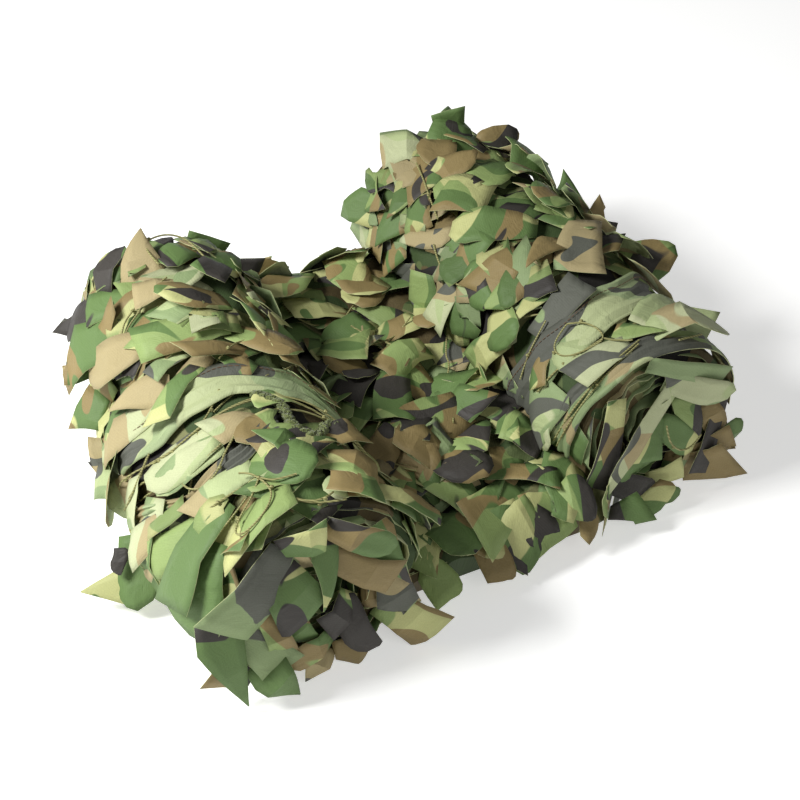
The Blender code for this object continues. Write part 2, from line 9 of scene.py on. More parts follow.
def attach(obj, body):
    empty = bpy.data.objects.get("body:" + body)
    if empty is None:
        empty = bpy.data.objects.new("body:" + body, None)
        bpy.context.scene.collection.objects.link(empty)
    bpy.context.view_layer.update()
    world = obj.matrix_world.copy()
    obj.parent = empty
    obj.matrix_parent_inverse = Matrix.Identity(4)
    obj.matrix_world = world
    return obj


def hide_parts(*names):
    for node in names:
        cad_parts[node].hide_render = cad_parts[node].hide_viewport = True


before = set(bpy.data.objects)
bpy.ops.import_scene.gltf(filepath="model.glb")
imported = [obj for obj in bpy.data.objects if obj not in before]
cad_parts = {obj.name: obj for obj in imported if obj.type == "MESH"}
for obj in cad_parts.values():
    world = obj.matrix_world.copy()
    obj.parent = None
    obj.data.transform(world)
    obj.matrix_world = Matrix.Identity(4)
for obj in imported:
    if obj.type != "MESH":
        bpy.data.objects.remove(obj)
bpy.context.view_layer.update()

# ---------------------------------------------------------------------------------------
# Studio. The net lies on a plain pale floor in soft light that comes mostly from the upper
# left, seen from the front left and well above.
# ---------------------------------------------------------------------------------------
VIEW_TARGET = Vector((0.0129, -0.030, 0.060))
VIEW_AZIMUTH = math.radians(-27.0)
VIEW_ELEVATION = math.radians(40.0)
VIEW_DISTANCE = 1.6
LAMP_TARGET = Vector((0.0, 0.0, 0.06))
FLOOR_REACH = 4.0  # metres from the middle to each side
FLOOR_GLOW = 0.48  # keeps the floor near white
WORLD_LIGHT = 0.12


def linear(code):
    """An sRGB hex colour as linear red, green, blue and alpha."""
    values = [int(code[i:i + 2], 16) / 255.0 for i in (1, 3, 5)]
    return tuple(v / 12.92 if v <= 0.04045 else ((v + 0.055) / 1.055) ** 2.4 for v in values) + (1.0,)


def shader_material(name, roughness):
    """A new material with its Principled shader; metallic stays at zero for cloth and paint."""
    made = bpy.data.materials.new(name)
    made.use_nodes = True
    shader = made.node_tree.nodes["Principled BSDF"]
    shader.inputs["Roughness"].default_value = roughness
    return made, made.node_tree, shader


floor_mesh = bmesh.new()
bmesh.ops.create_grid(floor_mesh, x_segments=1, y_segments=1, size=FLOOR_REACH)
floor_data = bpy.data.meshes.new("studio_floor")
floor_mesh.to_mesh(floor_data)
floor_mesh.free()
floor = bpy.data.objects.new("studio_floor", floor_data)
bpy.context.scene.collection.objects.link(floor)
# matt rolled paint: an even pale ground with no gleam, on which only the soft shadow shows
floor_paint, _, floor_shader = shader_material("matt_floor_paint", 0.9)
floor_shader.inputs["Base Color"].default_value = linear("#F4F4F2")
floor_shader.inputs["Emission Color"].default_value = linear("#FFFFFF")
floor_shader.inputs["Emission Strength"].default_value = FLOOR_GLOW
floor.data.materials.append(floor_paint)

world = bpy.data.worlds.new("studio")
bpy.context.scene.world = world
world.use_nodes = True
sky = world.node_tree.nodes["Background"]
sky.inputs["Color"].default_value = linear("#FFFFFF")
sky.inputs["Strength"].default_value = WORLD_LIGHT
bpy.context.scene.view_settings.view_transform = "Standard"

# name, place, size in metres, watts
for name, place, size, watts in (
    ("key_upper_left", (-1.12, 0.20, 1.15), 0.60, 35.0),
    ("fill_front", (0.2, -1.9, 1.3), 1.2, 8.0),
):
    lamp = bpy.data.lights.new(name, "AREA")
    lamp.shape = "DISK"
    lamp.size = size
    lamp.energy = watts
    holder = bpy.data.objects.new(name, lamp)
    holder.location = place
    holder.rotation_euler = (LAMP_TARGET - Vector(place)).to_track_quat("-Z", "Y").to_euler()
    bpy.context.scene.collection.objects.link(holder)

camera_data = bpy.data.cameras.new("camera")
camera_data.lens = 90.0
camera_data.sensor_width = 36.0
camera = bpy.data.objects.new("camera", camera_data)
toward_camera = Vector((math.sin(VIEW_AZIMUTH) * math.cos(VIEW_ELEVATION),
                        -math.cos(VIEW_AZIMUTH) * math.cos(VIEW_ELEVATION),
                        math.sin(VIEW_ELEVATION)))
camera.location = VIEW_TARGET + toward_camera * VIEW_DISTANCE
camera.rotation_euler = (-toward_camera).to_track_quat("-Z", "Y").to_euler()
bpy.context.scene.collection.objects.link(camera)
bpy.context.scene.camera = camera

# ---------------------------------------------------------------------------------------
# Wound cloth. The garnish cloth is thin polyester, printed on one side and slit so that it
# opens into leaves; rolled from both ends it makes two soft drums joined by a folded strip.
# Here is what lies under the leaves, with the folds of the solids.
# ---------------------------------------------------------------------------------------
MM = 0.001  # metres
ORIGIN = Vector((-0.0129, 0.030, 0.0))  # from the roll measurements to the middle of the net
LUMP = 0.0085  # height of the folds
LUMP_SPACING = 0.040  # from fold to fold
BAND_WIDTH = 0.040
STRAP_WIDTH = 0.026
BAND_MARGIN = 0.010  # pressed smooth on each side of a band
FLAT_HALF_ANGLE = 17.0  # degrees to each side of the underside that lie flat on the floor
UNDER = 0.0035  # the under cloth lies this far inside the solids
FLOOR_REST = 0.0006  # the lowest cloth lies this high
CLOTH_RADIUS = 0.075  # mean radius of the rolls, for the length of cloth round them
# where slack cloth swells a roll out of the round: degrees and reach, mm along and reach, rise
BULGES = {"left": (-102, 50, 120, 150, 0.019), "right": (52, 46, 230, 170, 0.010)}

# near and far middle of each roll, its radius at each end, and where its folds start
ROLLS = {
    "left": {"near": Vector((-0.1520, -0.1816, 0.0766)), "far": Vector((-0.1347, 0.1873, 0.0718)),
             "near_radius": 0.0760, "far_radius": 0.0715, "seed": 3.0},
    "right": {"near": Vector((0.1578, -0.1354, 0.0728)), "far": Vector((0.1404, 0.2398, 0.0679)),
              "near_radius": 0.0720, "far_radius": 0.0675, "seed": 11.0},
}
for roll in ROLLS.values():
    roll["near"] -= ORIGIN
    roll["far"] -= ORIGIN
    roll["axis"] = (roll["far"] - roll["near"]).normalized()
    roll["side"] = roll["axis"].cross(Vector((0.0, 0.0, 1.0))).normalized()
    roll["up"] = roll["side"].cross(roll["axis"])
    roll["length"] = (roll["far"] - roll["near"]).length
    roll["radius_mm"] = (roll["near_radius"] + roll["far_radius"]) / 2.0 / MM

# middle lines of the edge bands and of their second turn: (degrees from the top, mm along)
BAND_LINES = {
    "left": [(-138, 212), (-100, 200), (-54, 172), (-11, 166), (28, 150), (62, 122), (94, 92)],
    "right": [(-98, 92), (-58, 76), (-30, 68), (6, 76), (49, 98), (92, 118), (136, 128)],
}
STRAP_LINES = {
    "left": [(-130, 152), (-103, 138), (-53, 84), (-21, 84), (6, 100)],
    "right": [(-100, 30), (-70, 24), (-30, 14), (20, 12), (70, 16), (110, 26)],
}


def blend(a, b, share):
    return a + (b - a) * share


def smooth(value, low, high):
    share = min(max((value - low) / (high - low), 0.0), 1.0)
    return share * share * (3.0 - 2.0 * share)


def line_at(line, angle):
    """Place along the roll, in mm, of a line at an angle; None outside its run."""
    if angle < line[0][0] or angle > line[-1][0]:
        return None
    for low, high in zip(line, line[1:]):
        if angle <= high[0]:
            share = (angle - low[0]) / (high[0] - low[0])
            return blend(low[1], high[1], share * share * (3.0 - 2.0 * share))
    return line[-1][1]


def belt_share(side_name, angle, along):
    """1 where a band or its second turn presses the roll smooth, 0 well away from them."""
    share = 0.0
    for lines, width in ((BAND_LINES, BAND_WIDTH), (STRAP_LINES, STRAP_WIDTH)):
        middle = line_at(lines[side_name], angle)
        if middle is not None:
            away = abs(along - middle) * MM - width / 2.0
            share = max(share, 1.0 - smooth(away, BAND_MARGIN, BAND_MARGIN * 2.2))
    return share


def roll_radius(side_name, angle, along):
    """Radius of the wound cloth at an angle (degrees) and a place along the roll (metres)."""
    roll = ROLLS[side_name]
    share = min(max(along / roll["length"], 0.0), 1.0)
    turn = math.radians(angle)
    radius = blend(roll["near_radius"], roll["far_radius"], share)
    spot = Vector((math.sin(turn) * radius, math.cos(turn) * radius, along)) / LUMP_SPACING
    fold = 0.35 - abs(noise.noise(spot + Vector((roll["seed"], 0.0, 0.0))))
    fold += 0.5 * noise.noise(spot * 1.6 + Vector((0.0, roll["seed"], 0.0)))
    radius += LUMP * fold * (1.0 - belt_share(side_name, angle, along / MM))
    middle, reach, middle_along, reach_along, rise = BULGES[side_name]
    away = math.hypot((angle - middle) / reach, (along / MM - middle_along) / reach_along)
    radius += rise * (1.0 - smooth(away, 0.25, 1.0))
    angle = (angle + 180.0) % 360.0 - 180.0
    if abs(abs(angle) - 180.0) < FLAT_HALF_ANGLE:
        height = blend(roll["near"].z, roll["far"].z, share)
        radius = max(radius, height / math.cos(math.radians(180.0 - abs(angle))))
    return radius


def roll_point(side_name, angle, along, rise):
    """A point on the side of a roll; along and rise in metres."""
    roll = ROLLS[side_name]
    radius = roll_radius(side_name, angle, min(max(along, 0.0), roll["length"])) + rise
    turn = math.radians(angle)
    across = roll["side"] * math.sin(turn) + roll["up"] * math.cos(turn)
    return roll["near"] + roll["axis"] * along + across * radius


# section of the strip between the rolls, near end to far end, all in mm:
# (place along, left edge, right edge, height)
WEB_ROWS = [(-164, -126, 92, 16), (-150, -127, 106, 34), (-126, -126, 132, 50), (-70, -124, 129, 56),
            (0, -120, 125, 55), (80, -116, 121, 56), (150, -113, 118, 57), (184, -112, 117, 58),
            (200, -60, 116, 50), (208, -46, 114, 30)]
WEB_LUMP = 0.0110
WEB_SPACING = 0.045


def web_row(along):
    for low, high in zip(WEB_ROWS, WEB_ROWS[1:]):
        if along <= high[0]:
            share = max((along - low[0]) / (high[0] - low[0]), 0.0)
            return tuple(blend(a, b, share) for a, b in zip(low[1:], high[1:]))
    return WEB_ROWS[-1][1:]


def web_height(x, y):
    """Height of the folded strip, with x and y in metres before the shift to the origin."""
    spot = Vector((x, y, 0.0)) / WEB_SPACING
    lump = noise.noise(spot + Vector((2.0, 5.0, 1.0))) + 0.6 * noise.noise(spot * 2.1)
    return max(web_row(y / MM)[2] * MM + WEB_LUMP * lump, 0.010)


def finish_mesh(bm, name, materials, nodes=(), outward=True):
    """The bmesh as a piece that rides on the net; a closed one is merged and turned outward."""
    if outward:
        bmesh.ops.remove_doubles(bm, verts=bm.verts, dist=0.00001)
        bmesh.ops.recalc_face_normals(bm, faces=bm.faces)
    data = bpy.data.meshes.new(name)
    bm.to_mesh(data)
    bm.free()
    piece = bpy.data.objects.new(name, data)
    bpy.context.scene.collection.objects.link(piece)
    for item in materials:
        data.materials.append(item)
    data.shade_smooth()
    data.set_sharp_from_angle(angle=math.radians(20.0))
    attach(piece, "root")
    for node in nodes:
        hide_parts(node)
    return piece


# The print is a woodland one of a pale ground, two greens, brown and near-black, its shapes 15
# to 50 mm across. It is dense on the face of the cloth and shows through the back paler.
PRINT_FACE = {"ground": "#AEB077", "green": "#5A7241", "soft": "#82955B",
              "brown": "#82724A", "dark": "#393632"}
PRINT_BACK = {"ground": "#A9AF88", "green": "#7F9065", "soft": "#9EAA7B",
              "brown": "#9C8F69", "dark": "#55574E"}
PRINT_SCALE = 13.5  # noise cells a metre, for shapes about 75 mm apart
# how far each piece of cloth leans towards a colour: shifts of green, brown and dark
LEANS = {"mixed": (0.0, 0.0, 0.0), "ground": (-0.07, -0.05, -0.05), "green": (0.12, -0.10, -0.03),
         "soft": (-0.10, -0.12, -0.06), "brown": (-0.04, 0.12, -0.03), "dark": (0.0, -0.04, 0.17),
         "spot": (0.16, -0.14, -0.08), "spotbrown": (-0.05, 0.16, -0.08), "grey": (0.10, -0.10, 0.10),
         "pale": (-0.12, -0.30, 0.00), "all_ground": (-0.30, -0.30, -0.30), "all_green": (0.40, -0.30, -0.30),
         "all_dark": (0.0, -0.10, 0.40), "light": (-0.12, -0.06, -0.14), "tan": (-0.14, 0.15, -0.14),
         "all_brown": (-0.30, 0.40, -0.30), "strap": (0.04, 0.00, 0.15)}
BLOB_LEAN = 0.42  # added to the dark lean at the middle of a leaf's one dark blob
EDGE_BLUR = 0.004  # half the step of noise over which one colour turns to the next
TWILL_PITCH = 0.0018  # metres; the real ribs are about 0.6 mm apart, too fine for the picture
TWILL_SLANT = math.radians(38.0)
GRAIN_SCALE = 900.0  # noise cells a metre, for the uneven dye of threads about 1 mm apart
CREASE_SCALE = 58.0  # noise cells a metre, for wrinkles about 17 mm apart


def add_node(tree, kind, settings=None, links=None):
    """Adds a node: settings are its properties, or values of its inputs by name or number."""
    node = tree.nodes.new(kind)
    for key, value in (settings or {}).items():
        if isinstance(key, str) and hasattr(node, key):
            setattr(node, key, value)
        else:
            node.inputs[key].default_value = value
    for key, source in (links or {}).items():
        tree.links.new(source, node.inputs[key])
    return node


def printed_cloth(name, colours, roughness, shade):
    """Thin printed polyester, woven in a fine diagonal twill and calendered on the face.

    It shows flat blots of colour with crisp edges, a faint slanting rib and soft wrinkles, and
    gleams a little where it bends. Its uv map is in metres of cloth.
    """
    made, tree, shader = shader_material(name, roughness)
    cloth = add_node(tree, "ShaderNodeUVMap", {"uv_map": "cloth"}).outputs[0]
    tone = add_node(tree, "ShaderNodeAttribute", {"attribute_name": "tone"})
    lean = add_node(tree, "ShaderNodeSeparateXYZ", {}, {"Vector": tone.outputs[1]}).outputs
    colour = add_node(tree, "ShaderNodeRGB").outputs[0]
    colour.default_value = linear(colours["ground"])
    # colour, shift of the pattern, stretch along the cloth, where the noise starts, swirl, lean
    for key, shift, stretch, start, swirl, bias in (
        ("soft", (3.1, 7.7, 0.0), (1.0, 0.8, 1.0), 0.500, 0.5, None),
        ("green", (11.3, 2.9, 0.0), (0.9, 1.1, 1.0), 0.510, 0.6, lean[0]),
        ("brown", (5.7, 19.1, 0.0), (1.0, 1.25, 1.0), 0.560, 0.7, lean[1]),
        ("dark", (23.9, 13.3, 0.0), (1.0, 1.5, 1.0), 0.632, 0.8, lean[2]),
    ):
        place = add_node(tree, "ShaderNodeMapping", {"Location": shift, "Scale": stretch}, {"Vector": cloth})
        field = add_node(tree, "ShaderNodeTexNoise", {"noise_dimensions": "2D", "Scale": PRINT_SCALE,
                                                      "Detail": 0.6, "Roughness": 0.45, "Distortion": swirl},
                         {"Vector": place.outputs[0]})
        shifted = field.outputs[0]
        if bias is not None:
            shifted = add_node(tree, "ShaderNodeMath", {"operation": "ADD"}, {0: shifted, 1: bias}).outputs[0]
        edge = add_node(tree, "ShaderNodeMapRange",
                        {"From Min": start - EDGE_BLUR, "From Max": start + EDGE_BLUR}, {"Value": shifted})
        mixed = add_node(tree, "ShaderNodeMix", {"data_type": "RGBA"}, {0: edge.outputs[0], 6: colour})
        mixed.inputs[7].default_value = linear(colours[key])
        colour = mixed.outputs[2]
    # fine diagonal ribs and the uneven dye of each thread; shade scales the whole colour down, which is
    # painted shade for the cloth under the leaves
    ribs = add_node(tree, "ShaderNodeMapping", {"Rotation": (0.0, 0.0, TWILL_SLANT)}, {"Vector": cloth})
    twill = add_node(tree, "ShaderNodeTexWave", {"wave_type": "BANDS", "bands_direction": "X",
                                                 "Scale": 2.0 * math.pi / 20.0 / TWILL_PITCH,
                                                 "Distortion": 0.6, "Detail": 1.0, "Detail Scale": 3.0},
                     {"Vector": ribs.outputs[0]})
    grain = add_node(tree, "ShaderNodeTexNoise", {"noise_dimensions": "2D", "Scale": GRAIN_SCALE,
                                                  "Detail": 1.0}, {"Vector": cloth})
    ribs_and_painted_shade = add_node(tree, "ShaderNodeMath", {"operation": "MULTIPLY_ADD", 1: 0.035, 2: 0.91 * shade},
                    {0: twill.outputs[1]})
    grain_and_painted_shade = add_node(tree, "ShaderNodeMath", {"operation": "MULTIPLY_ADD", 1: 0.20},
                    {0: grain.outputs[0], 2: ribs_and_painted_shade.outputs[0]})
    # the tone attribute scales it again: each leaf's own random tone, with the painted shade and painted
    # light set where the pieces are made
    level = add_node(tree, "ShaderNodeMath", {"operation": "MULTIPLY"},
                     {0: grain_and_painted_shade.outputs[0], 1: tone.outputs[3]})
    print_with_painted_light_and_shade = add_node(tree, "ShaderNodeVectorMath", {"operation": "SCALE"},
                    {0: colour, 3: level.outputs[0]})
    tree.links.new(print_with_painted_light_and_shade.outputs[0], shader.inputs["Base Color"])
    # soft wrinkles of crumpled cloth under the ribs
    crease = add_node(tree, "ShaderNodeTexNoise", {"noise_dimensions": "2D", "Scale": CREASE_SCALE,
                                                   "Detail": 4.0, "Roughness": 0.6, "Distortion": 0.6},
                      {"Vector": cloth})
    relief = add_node(tree, "ShaderNodeMath", {"operation": "MULTIPLY_ADD", 1: 0.03},
                      {0: twill.outputs[1], 2: crease.outputs[0]})
    bump = add_node(tree, "ShaderNodeBump", {"Strength": 0.60, "Distance": 0.0022},
                    {"Height": relief.outputs[0]})
    tree.links.new(bump.outputs[0], shader.inputs["Normal"])
    shader.inputs["Specular IOR Level"].default_value = 0.32
    return made


def lay_cloth(bm, face_verts, uv_of, tone, lean="mixed", blob_of=None):
    """Gives the faces of some vertices their place on the cloth, their tone and their lean."""
    green, brown, dark = LEANS[lean]
    blob_of = blob_of or {}
    layer = bm.loops.layers.uv.get("cloth") or bm.loops.layers.uv.new("cloth")
    shade = bm.loops.layers.float_color.get("tone") or bm.loops.layers.float_color.new("tone")
    for face in {face for vert in face_verts for face in vert.link_faces}:
        for loop in face.loops:
            loop[layer].uv = uv_of[loop.vert]
            loop[shade] = (green, brown, dark + BLOB_LEAN * blob_of.get(loop.vert, 0.0), tone)


# the same cloth where it lies under the leaves, matt and darkened to 0.40 as painted shade
under_cloth = printed_cloth("woodland_print_under_the_leaves", PRINT_FACE, 0.75, 0.40)
TURNS_UNDER = 96
STATIONS_UNDER = 72
CORE_DEPTH = 0.030  # the ends are sunk this far towards the hollow core
CORE_SHARE = 0.12  # share of the radius at the bottom of the hollow
END_ROUND = 0.06  # share of the length over which the cloth turns in at an end
END_INSET = 0.004

for side_name, roll in ROLLS.items():
    bm = bmesh.new()
    made = bmesh.ops.create_grid(bm, x_segments=TURNS_UNDER, y_segments=STATIONS_UNDER, size=1.0)
    uv_of = {}
    for vert in made["verts"]:
        turn = (vert.co.x + 1.0) * 180.0 - 180.0
        run = (vert.co.y + 1.0) / 2.0
        share = smooth(min(run, 1.0 - run), 0.0, END_ROUND)
        along = blend(END_INSET, roll["length"] - END_INSET, smooth(run, -0.02, 1.02))
        uv_of[vert] = (math.radians(turn) * CLOTH_RADIUS, along)
        radius = (roll_radius(side_name, turn, along) - UNDER) * blend(CORE_SHARE, 1.0, share)
        if share < 0.5:
            along += CORE_DEPTH * (0.5 - share) * (1.0 if run < 0.5 else -1.0)
        swing = math.radians(turn)
        vert.co = (roll["near"] + roll["axis"] * along
                   + (roll["side"] * math.sin(swing) + roll["up"] * math.cos(swing)) * radius)
        vert.co.z = max(vert.co.z, FLOOR_REST)
    # painted shade: a tone of 0.8 darkens the cloth under the leaves further
    lay_cloth(bm, made["verts"], uv_of, 0.8)
    rim = [edge for edge in bm.edges if edge.is_boundary]
    bmesh.ops.remove_doubles(bm, verts=list({v for e in rim for v in e.verts}), dist=0.00001)
    bmesh.ops.holes_fill(bm, edges=[edge for edge in bm.edges if edge.is_boundary], sides=0)
    finish_mesh(bm, "wound_cloth_" + side_name, [under_cloth], ["net"])

TUCK = 0.94  # the strip's sides turn in towards the floor
NEAR_INSET = 8.0  # mm from the first and the last of WEB_ROWS
FAR_INSET = 3.0
bm = bmesh.new()
made = bmesh.ops.create_grid(bm, x_segments=40, y_segments=60, size=1.0)
uv_of = {}
for vert in made["verts"]:
    along = blend(WEB_ROWS[0][0] + NEAR_INSET, WEB_ROWS[-1][0] - FAR_INSET, (vert.co.y + 1.0) / 2.0)
    left, right, height = web_row(along)
    across = blend(left, right, (vert.co.x + 1.0) / 2.0)
    uv_of[vert] = (across * MM, along * MM)
    vert.co = Vector((across, along, 0.0)) * MM - ORIGIN
    vert.co.z = web_height(across * MM, along * MM) - UNDER
# painted shade: the strip's cloth under the leaves is darker still, with a tone of 0.72
lay_cloth(bm, made["verts"], uv_of, 0.72)
skirt = bmesh.ops.extrude_edge_only(bm, edges=[edge for edge in bm.edges if edge.is_boundary])
for item in skirt["geom"]:
    if isinstance(item, bmesh.types.BMVert):
        item.co *= TUCK
        item.co.z = FLOOR_REST
bmesh.ops.holes_fill(bm, edges=[edge for edge in bm.edges if edge.is_boundary], sides=0)
finish_mesh(bm, "folded_strip", [under_cloth], ["net"])

# ---------------------------------------------------------------------------------------
# Wound ends. At each end of a roll the edges of the wound layers show as a loose spiral of
# crumpled cloth round a hollow core, each layer standing a little in or out of the next.
# ---------------------------------------------------------------------------------------
# the face is calendered and gleams a little; the back is matt and paler
face_cloth = printed_cloth("woodland_print_face", PRINT_FACE, 0.62, 1.0)
back_cloth = printed_cloth("woodland_print_back", PRINT_BACK, 0.70, 1.0)


def mix_colours(tree, factor, first, second):
    """Two hex colours mixed by a factor; returns the mixed colour."""
    mix = add_node(tree, "ShaderNodeMix", {"data_type": "RGBA"}, {0: factor})
    mix.inputs[6].default_value = linear(first)
    mix.inputs[7].default_value = linear(second)
    return mix.outputs[2]


# the print doesn't reach the cut edge, where the undyed threads show as a thin pale frayed line
edge_cloth, edge_tree, edge_shader = shader_material("cut_polyester_edge", 0.8)
fray = add_node(edge_tree, "ShaderNodeTexNoise", {"Scale": 700.0, "Detail": 2.0},
                {"Vector": add_node(edge_tree, "ShaderNodeTexCoord").outputs["Object"]})
edge_tree.links.new(mix_colours(edge_tree, fray.outputs[0], "#8F9A5E", "#D3D6A6"),
                    edge_shader.inputs["Base Color"])

CLOTH_THICK = 0.00035  # a little over the real 0.2 mm, so that the edge shows
LAYER_PITCH = 0.0078  # between wound layers at an end
LAYER_DEPTH = 0.026  # how much of a layer's edge shows down between its neighbours
LAYER_RADIUS = 0.042  # mean radius of the layers, for the length of cloth along them
LAYER_STEPS = 44  # steps a turn
CORE_MOUTH = 0.013
CRUMPLE_SPACING = 0.016
CRUMPLE = 0.0044  # in and out from the middle of the roll
RAGGED = 0.0062  # along the roll, from point to point of an edge
WANDER = 0.011  # along the roll, over about a turn
FLOOR_GAP = 0.0010


def thicken(piece, thickness):
    """Gives a sheet its thickness: face, back and cut edge take the three materials in turn."""
    solid = piece.modifiers.new("thickness", "SOLIDIFY")
    solid.thickness = thickness
    solid.offset = 0.0
    solid.material_offset = 1
    solid.material_offset_rim = 2
    solid.use_even_offset = False
    graph = bpy.context.evaluated_depsgraph_get()
    data = bpy.data.meshes.new_from_object(piece.evaluated_get(graph), depsgraph=graph)
    piece.modifiers.clear()
    piece.data = data


def finish_sheet(bm, name, materials, owner, thickness):
    """The bmesh as thin cloth of some thickness that lies on other pieces.

    materials are those of its face, back and cut edge; owner is its slot, which is not used, and its node.
    """
    piece = finish_mesh(bm, name, materials, [owner[1]], outward=False)
    thicken(piece, thickness)


GARNISH = (face_cloth, back_cloth, edge_cloth)
NET = ("garnish_cloth", "net")

for side_name, roll in ROLLS.items():
    bm = bmesh.new()
    length = 0.0
    # end, the way out of it, and the turn at which its spiral starts
    for end, outward, first_turn in (("near", -1.0, 1.3), ("far", 1.0, 4.4)):
        radius_end = roll[end + "_radius"] - UNDER
        turns = (radius_end - CORE_MOUTH) / LAYER_PITCH
        steps = int(turns * LAYER_STEPS)
        made = bmesh.ops.create_grid(bm, x_segments=steps, y_segments=5, size=1.0)
        uv_of = {}
        start = first_turn + roll["seed"]
        for vert in made["verts"]:
            run = (vert.co.x + 1.0) / 2.0
            lane = (vert.co.y + 1.0) / 2.0
            turn = run * turns * 2.0 * math.pi + start
            radius = CORE_MOUTH + LAYER_PITCH * turns * run
            walk = Vector((math.sin(turn) * radius, math.cos(turn) * radius, start)) / CRUMPLE_SPACING
            crumple = noise.noise(walk) * CRUMPLE * (0.5 + lane)
            ragged = lane * RAGGED * noise.noise(walk * 0.8 + Vector((0.0, 0.0, 9.0)))
            out = blend(-LAYER_DEPTH, 0.0, lane) + ragged
            out += WANDER * lane * noise.noise(Vector((turn * 0.9, start, 0.0))) - 0.003
            # the outermost and the innermost layer start deeper in
            out -= 0.009 * smooth(run, 0.93, 1.0) + 0.010 * (1.0 - smooth(run, 0.0, 0.12))
            radius = min(radius + crumple, radius_end)
            middle = roll[end] + roll["axis"] * outward * out
            vert.co = middle + (roll["side"] * math.sin(turn) + roll["up"] * math.cos(turn)) * radius
            vert.co.z = max(vert.co.z, FLOOR_GAP)
            uv_of[vert] = (run * turns * 2.0 * math.pi * LAYER_RADIUS, lane * LAYER_DEPTH + start)
        length += turns * 2.0 * math.pi * (CORE_MOUTH + radius_end) / 2.0
        lay_cloth(bm, made["verts"], uv_of, 0.92, "green")
    finish_sheet(bm, "wound_layers_" + side_name, GARNISH, NET, CLOTH_THICK)

